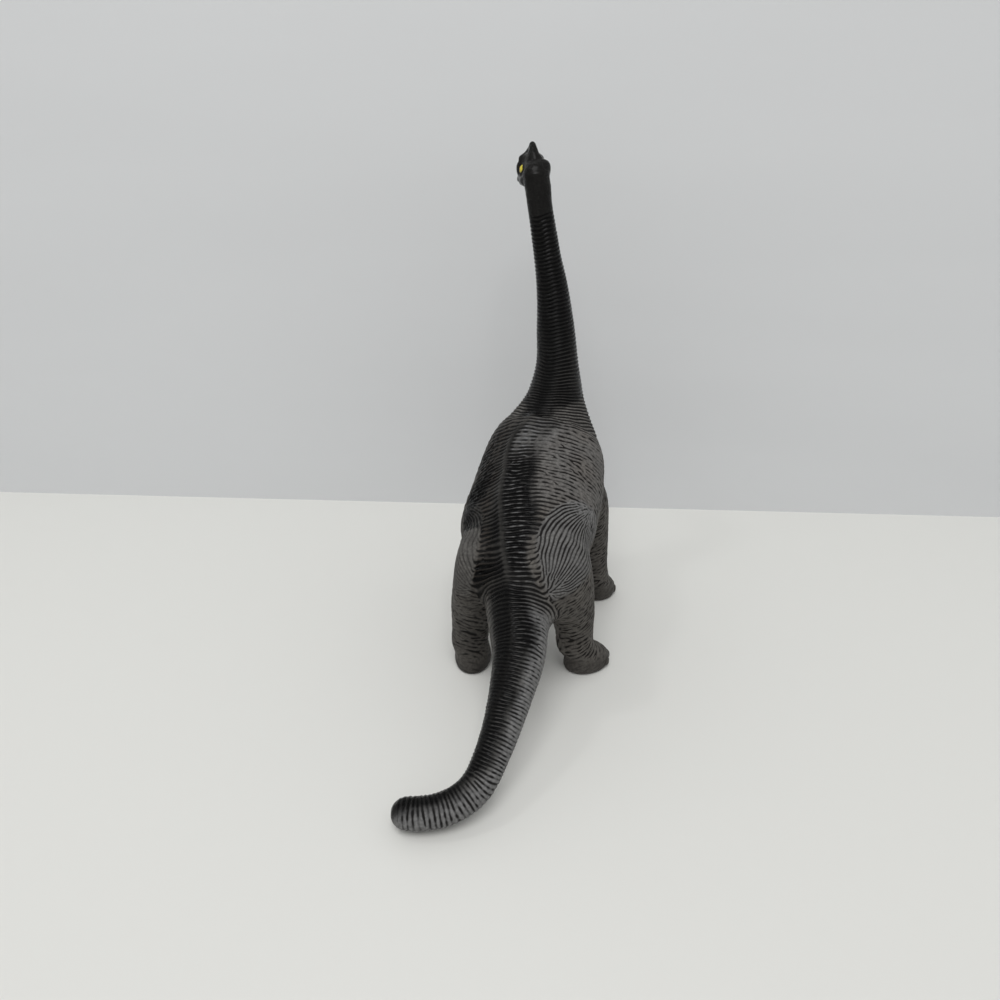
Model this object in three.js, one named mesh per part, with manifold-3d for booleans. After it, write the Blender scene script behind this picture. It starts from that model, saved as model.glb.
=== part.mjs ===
// A standing long-necked toy dinosaur of soft vinyl: a hollow torso in two halves, parted along the back,
// with the neck, the head, the tail, the four legs and the two bead eyes as mouldings of their own, joined by
// keyed plugs. Millimetres, +Z up, +Y the way the figure walks, +X its right side, the soles on z = 0.

import * as THREE from 'three';
import { mergeVertices } from 'three/addons/utils/BufferGeometryUtils.js';
import Module from 'manifold-3d';

const wasm = await Module();
wasm.setup();

// Torso, from the tail root to the neck root
const TORSO_LENGTH = 100;
const TORSO_WIDTH = 66;
const TORSO_DEPTH = 59;
const TAIL_ROOT_HEIGHT = 50;
const BACK_RISE = 43;
const TORSO_WALL = 2.6;
const TORSO_END_WALL = 4;

// Tail
const TAIL_REACH = 70;
const TAIL_SWING = 35;
const TAIL_ROOT_RADIUS = 14;
const TAIL_TIP_RADIUS = 6.3;
const TAIL_TIP_LIFT = 1.2;

// Neck
const NECK_RISE = 110;
const NECK_FORWARD = 32;
const NECK_LEAN = 14;
const NECK_ROOT_RADIUS = 30;
const NECK_TOP_RADIUS = 6.2;

// Head, which starts with a short stretch of neck
const HEAD_STEM_RISE = 21;
const HEAD_STEM_FORWARD = 3;
const HEAD_STEM_LEAN = 4.4;
const HEAD_LENGTH = 31;
const HEAD_WIDTH = 14;
const HEAD_DEPTH = 15;
const CREST_HEIGHT = 9.6;
const HEAD_TURN = THREE.MathUtils.degToRad(18);
const HEAD_NOD = THREE.MathUtils.degToRad(5);
const EYE_RADIUS = 2.3;

// How far the trunk leans to the left
const BODY_LEAN = THREE.MathUtils.degToRad(25);

// Hind legs, from the sole to the top of the thigh
const HINDLEG_HEIGHT = 84;
const HINDLEG_RADIUS = 9.6;
const HIND_FOOT_LENGTH = 25;
const HIND_FOOT_WIDTH = 19;
const HIND_FOOT_HEIGHT = 12;

// Forelegs, from the sole to the top of the shoulder
const FORELEG_HEIGHT = 96;
const FORELEG_RADIUS = 8.3;
const FORE_FOOT_LENGTH = 21;
const FORE_FOOT_WIDTH = 18;
const FORE_FOOT_HEIGHT = 12;

// Joints between the mouldings
const SEAM_GAP = 0.3;
const PLUG_CLEARANCE = 0.3;
const TAIL_PLUG_RADIUS = 7;
const NECK_PLUG_RADIUS = 8;
const HEAD_PLUG_RADIUS = 3.2;
const LEG_PLUG_RADIUS = 5;
const PLUG_LENGTH = 12;
const HEAD_PLUG_LENGTH = 6;

// How far past the torso's seams the legs are still fitted to the trunk
const FITTING_OVERRUN = 24;

// Fineness of the facets
const TRUNK_SIDES = 28;
const LEG_SIDES = 20;
const HEAD_SIDES = 22;
const TAIL_RINGS = 20;
const TORSO_RINGS = 18;
const FITTING_RINGS = 30;
const PARTING_STRIPS = 4;
const NECK_RINGS = 22;
const STEM_RINGS = 5;
const LEG_RINGS = 18;
const HEAD_RINGS = 16;
const CREST_RINGS = 8;
const CAP_RINGS = 4;
const PLUG_SIDES = 14;
const EYE_SIDES = 14;
const EYE_RINGS = 10;
const CURVE_DIVISIONS = 400;

const VINYL_GREY = 0x45423f;
const TAIL_GREY = 0x4a4b4d;
const NECK_BLACK = 0x24221f;
const EYE_YELLOW = 0xd8c21e;

// The trunk is one smooth body from the tail tip to the head, laid over rows of rings. In each row, lean tips
// the ring's top to the left, as a share of the body's lean.
// Tail rows: shares of the swing to the left, of the reach to the back, of the drop from the root to the
// floor, and of the swell from the tip's radius to the root's.
const tailShares = [
  { swing: 0.94, reach: 1.045, drop: 1.00, swell: 0.00, lean: 2.0 },
  { swing: 0.75, reach: 1.035, drop: 0.99, swell: 0.02, lean: 2.0 },
  { swing: 0.45, reach: 0.98, drop: 0.95, swell: 0.04, lean: 1.9 },
  { swing: 0.21, reach: 0.88, drop: 0.86, swell: 0.07, lean: 1.8 },
  { swing: 0.10, reach: 0.755, drop: 0.715, swell: 0.11, lean: 1.7 },
  { swing: 0.01, reach: 0.59, drop: 0.525, swell: 0.22, lean: 1.5 },
  { swing: -0.045, reach: 0.40, drop: 0.335, swell: 0.42, lean: 0.9 },
  { swing: -0.07, reach: 0.20, drop: 0.145, swell: 0.69, lean: 0.4 },
];

// Torso rows: shares of the width for the place to the side, of the length and of the rise of the back, then
// of the half width, and of the half depth above and below the ring's centre.
const torsoShares = [
  { side: 0.038, along: 0.00, rise: 0.00, width: 0.415, above: 0.48, below: 0.50, lean: 0.3 },
  { side: 0.033, along: 0.14, rise: 0.14, width: 0.60, above: 0.62, below: 0.72, lean: 0.4 },
  { side: 0.017, along: 0.29, rise: 0.28, width: 0.83, above: 0.75, below: 0.92, lean: 0.6 },
  { side: -0.01, along: 0.51, rise: 0.44, width: 1.00, above: 0.88, below: 1.06, lean: 0.9 },
  { side: -0.005, along: 0.74, rise: 0.64, width: 1.06, above: 0.94, below: 1.04, lean: 1.0 },
];

// Neck rows: shares of the rise, of the forward reach, of the sideways place, and of the swell from the top's
// radius to the root's, then the depth against the width.
const neckShares = [
  { rise: 0.00, forward: 0.00, side: -0.12, swell: 1.00, deep: 0.92, lean: 0.7 },
  { rise: 0.055, forward: 0.21, side: -0.19, swell: 0.81, deep: 0.92, lean: 0.6 },
  { rise: 0.20, forward: 0.53, side: -0.28, swell: 0.38, deep: 1.06, lean: 0.4 },
  { rise: 0.36, forward: 0.72, side: -0.26, swell: 0.20, deep: 1.12, lean: 0.3 },
  { rise: 0.52, forward: 0.84, side: -0.12, swell: 0.15, deep: 1.12, lean: 0.3 },
  { rise: 0.69, forward: 0.92, side: 0.06, swell: 0.08, deep: 1.12, lean: 0.3 },
  { rise: 0.845, forward: 0.965, side: 0.30, swell: 0.025, deep: 1.10, lean: 0.3 },
  { rise: 1.00, forward: 1.00, side: 0.54, swell: 0.00, deep: 1.08, lean: 0.3 },
];
const stemTopRadiusShare = 0.94;

// A row is lying where its ring's top points up, as on the tail and the torso. On the neck it points back.
function trunkRow(x, y, z, halfWidth, above, below, lean, lyingShare) {
  return { centre: new THREE.Vector3(x, y, z), halfWidth, above, below, lean, lyingShare };
}

function tailRow(share) {
  const tipHeight = TAIL_TIP_RADIUS + TAIL_TIP_LIFT;
  const x = torsoShares[0].side * TORSO_WIDTH - share.swing * TAIL_SWING;
  const y = -share.reach * TAIL_REACH;
  const z = TAIL_ROOT_HEIGHT - share.drop * (TAIL_ROOT_HEIGHT - tipHeight);
  const radius = TAIL_TIP_RADIUS + share.swell * (TAIL_ROOT_RADIUS - TAIL_TIP_RADIUS);
  return trunkRow(x, y, z, radius, radius, radius, share.lean, 1);
}

function torsoRow(share) {
  const x = share.side * TORSO_WIDTH;
  const y = share.along * TORSO_LENGTH;
  const z = TAIL_ROOT_HEIGHT + share.rise * BACK_RISE;
  const halfWidth = share.width * TORSO_WIDTH / 2;
  const above = share.above * TORSO_DEPTH / 2;
  const below = share.below * TORSO_DEPTH / 2;
  return trunkRow(x, y, z, halfWidth, above, below, share.lean, 1);
}

function neckRow(share) {
  const x = -share.side * NECK_LEAN;
  const y = TORSO_LENGTH + share.forward * NECK_FORWARD;
  const z = TAIL_ROOT_HEIGHT + BACK_RISE + share.rise * NECK_RISE;
  const radius = NECK_TOP_RADIUS + share.swell * (NECK_ROOT_RADIUS - NECK_TOP_RADIUS);
  return trunkRow(x, y, z, radius, radius * share.deep, radius * share.deep, share.lean, 0);
}

function stemTopRow(neckTop) {
  const radius = NECK_TOP_RADIUS * stemTopRadiusShare;
  const x = neckTop.x - HEAD_STEM_LEAN;
  const y = neckTop.y + HEAD_STEM_FORWARD;
  const z = neckTop.z + HEAD_STEM_RISE;
  return trunkRow(x, y, z, radius, radius, radius, 0, 0);
}

const rows = [...tailShares.map(tailRow), ...torsoShares.map(torsoRow), ...neckShares.map(neckRow)];
const TAIL_ROOT_ROW = tailShares.length;
const NECK_ROOT_ROW = TAIL_ROOT_ROW + torsoShares.length;
const NECK_TOP_ROW = rows.length - 1;
const STEM_TOP_ROW = rows.length;
rows.push(stemTopRow(rows[NECK_TOP_ROW].centre));

const spine = new THREE.CatmullRomCurve3(rows.map((row) => row.centre));
spine.arcLengthDivisions = CURVE_DIVISIONS;
const girths = new THREE.CatmullRomCurve3(
  rows.map((row) => new THREE.Vector3(row.halfWidth, row.above, row.below)));
const leans = new THREE.CatmullRomCurve3(
  rows.map((row) => new THREE.Vector3(row.lean, row.lyingShare, 0)));
const spineLengths = spine.getLengths(CURVE_DIVISIONS);
const SPINE_LENGTH = spineLengths[CURVE_DIVISIONS];

// Length of the spine from the tail tip to a row.
function lengthAtRow(row) {
  return spineLengths[Math.round(CURVE_DIVISIONS * row / (rows.length - 1))];
}

// The trunk's ring at a length along the spine: its centre, its own right and up, and its size.
function trunkRing(length) {
  const t = spine.getUtoTmapping(length / SPINE_LENGTH);
  const centre = spine.getPoint(t);
  const along = spine.getTangent(t);
  const girth = girths.getPoint(t);
  const lean = leans.getPoint(t);
  const towardsTop = new THREE.Vector3(0, lean.y - 1, lean.y);
  const up = towardsTop.addScaledVector(along, -towardsTop.dot(along)).normalize();
  up.applyAxisAngle(along, -lean.x * BODY_LEAN);
  const right = new THREE.Vector3().crossVectors(along, up);
  return { centre, along, up, right, halfWidth: girth.x, above: girth.y, below: girth.z };
}

// Point of a ring's skin at an angle from the ring's right, a quarter turn being the back line.
function skinPoint(ring, angle, growth) {
  const sine = Math.sin(angle);
  const height = (sine > 0 ? ring.above : ring.below) + growth;
  return ring.centre.clone()
    .addScaledVector(ring.right, Math.cos(angle) * (ring.halfWidth + growth))
    .addScaledVector(ring.up, sine * height);
}

function fullOutline(ring, growth) {
  const points = [];
  for (let side = 0; side < TRUNK_SIDES; side += 1) {
    points.push(skinPoint(ring, -side / TRUNK_SIDES * 2 * Math.PI, growth));
  }
  return points;
}

// Outline of one half of a ring, with points along the parting face too, so that both halves follow its twist
// alike. hand is 1 on the right and -1 on the left.
function halfOutline(ring, hand) {
  const points = [];
  const steps = TRUNK_SIDES / 2;
  for (let side = 0; side <= steps; side += 1) {
    const angle = Math.PI / 2 - hand * Math.PI * side / steps;
    points.push(skinPoint(ring, angle, 0));
  }
  const top = points[0].addScaledVector(ring.right, hand * SEAM_GAP / 2);
  const bottom = points[steps].addScaledVector(ring.right, hand * SEAM_GAP / 2);
  for (let strip = 1; strip < PARTING_STRIPS; strip += 1) {
    points.push(bottom.clone().lerp(top, strip / PARTING_STRIPS));
  }
  return hand > 0 ? points : points.reverse();
}

// Closed body through a list of outlines, all with as many points, each closed by itself.
function loft(outlines) {
  const sides = outlines[0].length;
  const positions = [];
  const indices = [];
  for (const outline of outlines) {
    for (const point of outline) {
      positions.push(point.x, point.y, point.z);
    }
  }
  for (let ring = 0; ring < outlines.length - 1; ring += 1) {
    for (let side = 0; side < sides; side += 1) {
      const next = (side + 1) % sides;
      const a = ring * sides + side;
      const b = ring * sides + next;
      const c = a + sides;
      const d = b + sides;
      indices.push(a, b, d, a, d, c);
    }
  }
  const caps = [{ outline: 0, flip: true }, { outline: outlines.length - 1, flip: false }];
  for (const cap of caps) {
    const hub = new THREE.Vector3();
    for (const point of outlines[cap.outline]) {
      hub.addScaledVector(point, 1 / sides);
    }
    const hubIndex = positions.length / 3;
    positions.push(hub.x, hub.y, hub.z);
    for (let side = 0; side < sides; side += 1) {
      const a = cap.outline * sides + side;
      const b = cap.outline * sides + (side + 1) % sides;
      indices.push(hubIndex, ...(cap.flip ? [b, a] : [a, b]));
    }
  }
  const geometry = new THREE.BufferGeometry();
  geometry.setAttribute('position', new THREE.Float32BufferAttribute(positions, 3));
  geometry.setIndex(indices);
  return geometry;
}

// Solid for joining and cutting, from a closed geometry.
function solidOf(geometry) {
  const bare = geometry.clone();
  bare.deleteAttribute('normal');
  bare.deleteAttribute('uv');
  const merged = mergeVertices(bare);
  return new wasm.Manifold(new wasm.Mesh({
    numProp: 3,
    vertProperties: new Float32Array(merged.attributes.position.array),
    triVerts: new Uint32Array(merged.index.array),
  }));
}

function meshOf(name, solid, color, roughness) {
  const cut = solid.getMesh();
  const geometry = new THREE.BufferGeometry();
  geometry.setAttribute('position', new THREE.BufferAttribute(cut.vertProperties, cut.numProp));
  geometry.setIndex(new THREE.BufferAttribute(cut.triVerts, 1));
  geometry.computeVertexNormals();
  const mesh = new THREE.Mesh(geometry, new THREE.MeshStandardMaterial({ color, roughness, metalness: 0 }));
  mesh.name = name;
  return mesh;
}

function ringsBetween(startLength, endLength, count) {
  const rings = [];
  for (let step = 0; step <= count; step += 1) {
    rings.push(trunkRing(startLength + (endLength - startLength) * step / count));
  }
  return rings;
}

// Rings that close the tail with a round end, from its last ring outwards.
function roundCap(ring) {
  const caps = [];
  for (let step = 1; step <= CAP_RINGS; step += 1) {
    const turn = Math.PI / 2 * step / (CAP_RINGS + 1);
    const shrink = Math.cos(turn);
    const bulge = ring.halfWidth * Math.sin(turn);
    caps.push({
      ...ring,
      centre: ring.centre.clone().addScaledVector(ring.along, -bulge),
      halfWidth: ring.halfWidth * shrink,
      above: ring.above * shrink,
      below: ring.below * shrink,
    });
  }
  return caps;
}

// A keyed plug: a round bar with one flat, so that it goes in one way and can't turn.
const plugFlatShare = 0.7;
function plugSolid(start, end, radius, growth) {
  const reach = radius + growth;
  const flat = radius * plugFlatShare + growth;
  const shape = new THREE.Shape();
  const opening = Math.acos(flat / reach);
  for (let side = 0; side <= PLUG_SIDES; side += 1) {
    const angle = opening + (2 * Math.PI - 2 * opening) * side / PLUG_SIDES;
    const x = reach * Math.cos(angle);
    const y = reach * Math.sin(angle);
    if (side === 0) {
      shape.moveTo(x, y);
    } else {
      shape.lineTo(x, y);
    }
  }
  const depth = start.distanceTo(end) + growth;
  const bar = new THREE.ExtrudeGeometry(shape, { depth, bevelEnabled: false, curveSegments: 1 });
  const direction = end.clone().sub(start).normalize();
  const turn = new THREE.Quaternion().setFromUnitVectors(new THREE.Vector3(0, 0, 1), direction);
  bar.applyQuaternion(turn);
  bar.translate(start.x, start.y, start.z);
  return solidOf(bar);
}

// Seams of the trunk, as lengths along the spine, each a gap wide
const tailSeam = lengthAtRow(TAIL_ROOT_ROW);
const neckSeam = lengthAtRow(NECK_ROOT_ROW);
const headSeam = lengthAtRow(NECK_TOP_ROW);
const stemTop = lengthAtRow(STEM_TOP_ROW);
const halfGap = SEAM_GAP / 2;

// Plug along the trunk across a seam: it starts in the piece that carries it and ends in the other's socket.
function trunkPlug(seam, radius, startReach, endReach, growth) {
  const ring = trunkRing(seam);
  const start = ring.centre.clone().addScaledVector(ring.along, startReach);
  const end = ring.centre.clone().addScaledVector(ring.along, endReach);
  return plugSolid(start, end, radius, growth);
}

function tailPlug(growth) {
  return trunkPlug(tailSeam, TAIL_PLUG_RADIUS, -PLUG_LENGTH / 2, PLUG_LENGTH, growth);
}

function neckPlug(growth) {
  return trunkPlug(neckSeam, NECK_PLUG_RADIUS, PLUG_LENGTH / 2, -PLUG_LENGTH, growth);
}

function headPlug(growth) {
  return trunkPlug(headSeam, HEAD_PLUG_RADIUS, -HEAD_PLUG_LENGTH, HEAD_PLUG_LENGTH, growth);
}

// Legs: horizontal outlines from the flat sole upwards. height is a share of the leg's height, outward of the
// stance, forward, length and width of the leg's radius, turn of the angle that its foot turns out, and thigh
// of what the leg's own thigh differs in.
const hindLegShares = [
  { height: 0.165, outward: 1.06, forward: 0.10, length: 1.04, width: 0.96, turn: 0.6, thigh: 0 },
  { height: 0.28, outward: 1.02, forward: 0.00, length: 1.00, width: 0.97, turn: 0.2, thigh: 0 },
  { height: 0.44, outward: 0.96, forward: -0.10, length: 1.36, width: 1.12, turn: 0, thigh: 0.15 },
  { height: 0.62, outward: 0.85, forward: -0.65, length: 2.10, width: 1.28, turn: 0, thigh: 0.8 },
  { height: 0.77, outward: 0.77, forward: -0.95, length: 2.45, width: 1.38, turn: 0, thigh: 1 },
  { height: 0.90, outward: 0.68, forward: -0.80, length: 2.10, width: 1.30, turn: 0, thigh: 1 },
  { height: 1.00, outward: 0.50, forward: -0.45, length: 1.10, width: 0.80, turn: 0, thigh: 0.8 },
];
const foreLegShares = [
  { height: 0.14, outward: 1.06, forward: 0.10, length: 1.03, width: 0.96, turn: 0.5, thigh: 0 },
  { height: 0.24, outward: 1.01, forward: 0.00, length: 0.98, width: 0.96, turn: 0.2, thigh: 0 },
  { height: 0.38, outward: 0.98, forward: -0.15, length: 1.10, width: 1.00, turn: 0, thigh: 0 },
  { height: 0.55, outward: 0.93, forward: -0.55, length: 1.42, width: 1.12, turn: 0, thigh: 0 },
  { height: 0.72, outward: 0.85, forward: -1.10, length: 1.90, width: 1.26, turn: 0, thigh: 0 },
  { height: 0.88, outward: 0.72, forward: -1.40, length: 1.80, width: 1.20, turn: 0, thigh: 0 },
  { height: 1.00, outward: 0.50, forward: -1.30, length: 0.80, width: 0.60, turn: 0, thigh: 0 },
];
const footShares = [
  { height: 0.00, length: 0.94, width: 0.92 },
  { height: 0.22, length: 1.00, width: 1.00 },
  { height: 0.62, length: 0.90, width: 0.94 },
];

// How far the legs stand out from the middle, as shares of the torso's width
const hindStanceShare = 0.38;
const foreStanceShare = 0.46;

const hindSize = {
  height: HINDLEG_HEIGHT,
  radius: HINDLEG_RADIUS,
  stance: hindStanceShare * TORSO_WIDTH,
  footLength: HIND_FOOT_LENGTH,
  footWidth: HIND_FOOT_WIDTH,
  footHeight: HIND_FOOT_HEIGHT,
  rowShares: hindLegShares,
  plugRow: 4,
};
const foreSize = {
  height: FORELEG_HEIGHT,
  radius: FORELEG_RADIUS,
  stance: foreStanceShare * TORSO_WIDTH,
  footLength: FORE_FOOT_LENGTH,
  footWidth: FORE_FOOT_WIDTH,
  footHeight: FORE_FOOT_HEIGHT,
  rowShares: foreLegShares,
  plugRow: 4,
};

// Where each leg stands, as a share of the torso's length, by how many degrees its foot turns out, how far
// the foot reaches past the leg, as a share of its length, how thick the thigh is, as a share of the table's,
// how far it reaches inwards over the trunk, as a share of the leg's radius, and how far it is spread
// outwards, as a share of the stance.
const legs = [
  { name: 'hindleg_left', hand: -1, size: hindSize, toeOut: 8,
    alongShare: 0.285, footReachShare: 0.10, thighShare: 0.64, gripShare: 0, spreadShare: 0.11 },
  { name: 'hindleg_right', hand: 1, size: hindSize, toeOut: 55,
    alongShare: 0.335, footReachShare: 0.34, thighShare: 1, gripShare: 0.9, spreadShare: 0 },
  { name: 'foreleg_left', hand: -1, size: foreSize, toeOut: 8,
    alongShare: 1.06, footReachShare: 0.12, thighShare: 1, gripShare: 0, spreadShare: 0 },
  { name: 'foreleg_right', hand: 1, size: foreSize, toeOut: 40,
    alongShare: 0.985, footReachShare: 0.30, thighShare: 1, gripShare: 0, spreadShare: 0 },
];

function legOutline(x, y, z, halfLength, halfWidth, turn) {
  const points = [];
  for (let side = 0; side < LEG_SIDES; side += 1) {
    const angle = side / LEG_SIDES * 2 * Math.PI;
    const across = halfWidth * Math.cos(angle);
    const ahead = halfLength * Math.sin(angle);
    points.push(new THREE.Vector3(
      x + across * Math.cos(turn) + ahead * Math.sin(turn),
      y - across * Math.sin(turn) + ahead * Math.cos(turn),
      z));
  }
  return points;
}

function legLevels(leg) {
  const { size, hand } = leg;
  const y = leg.alongShare * TORSO_LENGTH;
  const toeOut = THREE.MathUtils.degToRad(leg.toeOut) * hand;
  const reach = leg.footReachShare * size.footLength;
  const levels = [];
  for (const share of footShares) {
    levels.push({
      x: hand * size.stance + reach * Math.sin(toeOut),
      y: y + reach * Math.cos(toeOut),
      z: share.height * size.footHeight,
      halfLength: share.length * size.footLength / 2,
      halfWidth: share.width * size.footWidth / 2,
      turn: toeOut,
    });
  }
  for (const share of size.rowShares) {
    const thickness = size.radius * (1 - share.thigh * (1 - leg.thighShare));
    const halfGrip = leg.gripShare * share.thigh * size.radius / 2;
    levels.push({
      x: hand * (size.stance * (share.outward + share.thigh * leg.spreadShare) - halfGrip),
      y: y + share.forward * thickness,
      z: share.height * size.height,
      halfLength: share.length * thickness,
      halfWidth: share.width * thickness + halfGrip,
      turn: toeOut * share.turn,
    });
  }
  return levels;
}

function legLoft(leg) {
  const levels = legLevels(leg);
  const places = new THREE.CatmullRomCurve3(
    levels.map((level) => new THREE.Vector3(level.x, level.y, level.z)));
  const sizes = new THREE.CatmullRomCurve3(
    levels.map((level) => new THREE.Vector3(level.halfLength, level.halfWidth, level.turn)));
  const outlines = [];
  for (let ring = 0; ring <= LEG_RINGS; ring += 1) {
    const place = places.getPoint(ring / LEG_RINGS);
    const form = sizes.getPoint(ring / LEG_RINGS);
    outlines.push(legOutline(place.x, place.y, place.z, form.x, form.y, form.z));
  }
  return solidOf(loft(outlines));
}

// A leg's plug runs from inside the thigh or the shoulder through the torso's wall towards its middle.
const plugStartShare = 0.75;
const plugEndShare = 1.1;
function legPlug(leg, growth) {
  const level = legLevels(leg)[footShares.length + leg.size.plugRow];
  const start = new THREE.Vector3(level.x + leg.hand * level.halfWidth * plugStartShare, level.y, level.z);
  const end = new THREE.Vector3(level.x - leg.hand * level.halfWidth * plugEndShare, level.y, level.z);
  return plugSolid(start, end, LEG_PLUG_RADIUS, growth);
}

const figure = new THREE.Group();

// Tail
const tailRings = ringsBetween(0, tailSeam - halfGap, TAIL_RINGS);
const tailTip = roundCap(tailRings[0]).reverse();
const tailLoft = loft([...tailTip, ...tailRings].map((ring) => fullOutline(ring, 0)));
figure.add(meshOf('tail', solidOf(tailLoft).add(tailPlug(0)), TAIL_GREY, 0.55));

// Torso halves, with the hollow and the sockets cut out
const torsoRings = ringsBetween(tailSeam + halfGap, neckSeam - halfGap, TORSO_RINGS);
const hollowRings = ringsBetween(tailSeam + TORSO_END_WALL, neckSeam - TORSO_END_WALL, TORSO_RINGS);
const hollow = solidOf(loft(hollowRings.map((ring) => fullOutline(ring, -TORSO_WALL))));
const trunkSockets = tailPlug(PLUG_CLEARANCE).add(neckPlug(PLUG_CLEARANCE));
for (const half of [{ name: 'torso_left_shell', hand: -1 }, { name: 'torso_right_shell', hand: 1 }]) {
  let shell = solidOf(loft(torsoRings.map((ring) => halfOutline(ring, half.hand))));
  shell = shell.subtract(hollow).subtract(trunkSockets);
  for (const leg of legs.filter((one) => one.hand === half.hand)) {
    shell = shell.subtract(legPlug(leg, PLUG_CLEARANCE));
  }
  figure.add(meshOf(half.name, shell, VINYL_GREY, 0.55));
}

// Legs, fitted round the torso
const fittingRings = ringsBetween(tailSeam - FITTING_OVERRUN, neckSeam + FITTING_OVERRUN, FITTING_RINGS);
const trunkSpace = solidOf(loft(fittingRings.map((ring) => fullOutline(ring, SEAM_GAP))));
for (const leg of legs) {
  const fitted = legLoft(leg).subtract(trunkSpace).add(legPlug(leg, 0));
  figure.add(meshOf(leg.name, fitted, VINYL_GREY, 0.6));
}

// Neck
const neckRings = ringsBetween(neckSeam + halfGap, headSeam - halfGap, NECK_RINGS);
const neckLoft = loft(neckRings.map((ring) => fullOutline(ring, 0)));
figure.add(meshOf('neck', solidOf(neckLoft).add(neckPlug(0)).add(headPlug(0)), NECK_BLACK, 0.45));

// Head: a skull laid on the top of the stem. Each row gives its place as a share of the head's length, its
// line's height and its height above and below that line as shares of half the head's depth, and its half
// width as a share of half the head's width.
const skullShares = [
  { along: -0.16, line: -0.05, width: 0.30, above: 0.22, below: 0.30 },
  { along: -0.10, line: -0.03, width: 0.68, above: 0.62, below: 0.62 },
  { along: 0.04, line: 0.00, width: 0.88, above: 0.90, below: 0.80 },
  { along: 0.20, line: 0.00, width: 1.00, above: 1.00, below: 0.84 },
  { along: 0.38, line: -0.02, width: 0.92, above: 0.92, below: 0.78 },
  { along: 0.56, line: -0.10, width: 0.74, above: 0.60, below: 0.62 },
  { along: 0.74, line: -0.20, width: 0.74, above: 0.46, below: 0.48 },
  { along: 0.90, line: -0.26, width: 0.66, above: 0.40, below: 0.40 },
  { along: 0.97, line: -0.28, width: 0.42, above: 0.24, below: 0.26 },
];
// The crest over the nose, a narrow arch, in the same shares, but above its line of the crest's height.
const crestShares = [
  { along: -0.02, line: 0.40, width: 0.16, above: 0.10, below: 0.30 },
  { along: 0.08, line: 0.66, width: 0.48, above: 0.66, below: 0.60 },
  { along: 0.24, line: 0.75, width: 0.62, above: 1.00, below: 0.90 },
  { along: 0.42, line: 0.50, width: 0.58, above: 0.88, below: 0.90 },
  { along: 0.58, line: 0.10, width: 0.36, above: 0.40, below: 0.60 },
];

const headFrame = new THREE.Matrix4()
  .makeRotationZ(HEAD_TURN)
  .multiply(new THREE.Matrix4().makeRotationX(-HEAD_NOD))
  .setPosition(trunkRing(stemTop).centre);

function headOutline(share, heightAbove) {
  const points = [];
  for (let side = 0; side < HEAD_SIDES; side += 1) {
    const angle = side / HEAD_SIDES * 2 * Math.PI;
    const sine = Math.sin(angle);
    const height = sine > 0 ? share.above * heightAbove : share.below * HEAD_DEPTH / 2;
    const point = new THREE.Vector3(
      -share.width * HEAD_WIDTH / 2 * Math.cos(angle),
      share.along * HEAD_LENGTH,
      share.line * HEAD_DEPTH / 2 + height * sine);
    points.push(point.applyMatrix4(headFrame));
  }
  return points;
}

// Closed body over the rows of a head table, with rings on a smooth curve between them.
function headLoft(table, ringCount, heightAbove) {
  const places = new THREE.CatmullRomCurve3(
    table.map((share) => new THREE.Vector3(share.along, share.line, share.width)));
  const heights = new THREE.CatmullRomCurve3(
    table.map((share) => new THREE.Vector3(share.above, share.below, 0)));
  const outlines = [];
  for (let ring = 0; ring <= ringCount; ring += 1) {
    const place = places.getPoint(ring / ringCount);
    const height = heights.getPoint(ring / ringCount);
    const share = { along: place.x, line: place.y, width: place.z, above: height.x, below: height.y };
    outlines.push(headOutline(share, heightAbove));
  }
  return solidOf(loft(outlines));
}

const eyeAlongShare = 0.27;
const eyeHeightShare = 0.17;
const eyeOutShare = 0.40;
function eyeSphere(hand, growth) {
  const sphere = new THREE.SphereGeometry(EYE_RADIUS + growth, EYE_SIDES, EYE_RINGS);
  const place = new THREE.Vector3(
    hand * eyeOutShare * HEAD_WIDTH,
    eyeAlongShare * HEAD_LENGTH,
    eyeHeightShare * HEAD_DEPTH);
  place.applyMatrix4(headFrame);
  sphere.translate(place.x, place.y, place.z);
  return solidOf(sphere);
}

const stemRings = ringsBetween(headSeam + halfGap, stemTop, STEM_RINGS);
const stem = solidOf(loft(stemRings.map((ring) => fullOutline(ring, 0))));
const skull = headLoft(skullShares, HEAD_RINGS, HEAD_DEPTH / 2);
const crest = headLoft(crestShares, CREST_RINGS, CREST_HEIGHT);
const head = stem.add(skull).add(crest)
  .subtract(headPlug(PLUG_CLEARANCE))
  .subtract(eyeSphere(-1, SEAM_GAP))
  .subtract(eyeSphere(1, SEAM_GAP));
figure.add(meshOf('head', head, NECK_BLACK, 0.5));
figure.add(meshOf('eye_left', eyeSphere(-1, 0), EYE_YELLOW, 0.2));
figure.add(meshOf('eye_right', eyeSphere(1, 0), EYE_YELLOW, 0.2));

// The figure's origin is on the floor under the middle of its outer box.
const outerBox = new THREE.Box3().setFromObject(figure);
const middle = outerBox.getCenter(new THREE.Vector3());
figure.position.set(-middle.x, -middle.y, 0);

const model = new THREE.Group();
model.add(figure);

export default model;
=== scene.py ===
"""The looks of a standing long-necked toy dinosaur of soft vinyl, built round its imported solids.

The skin is one smooth body that is grown over the solids, sculpted, wrinkled by ribs that follow the trunk,
the thighs and the legs, painted, and then parted again at the seams of the mouldings.
Points are in millimetres, +Z up, +Y the way the figure walks, and become metres where a mesh is made.
"""

import math
import bpy
import numpy as np
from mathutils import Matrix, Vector
from mathutils.bvhtree import BVHTree


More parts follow.
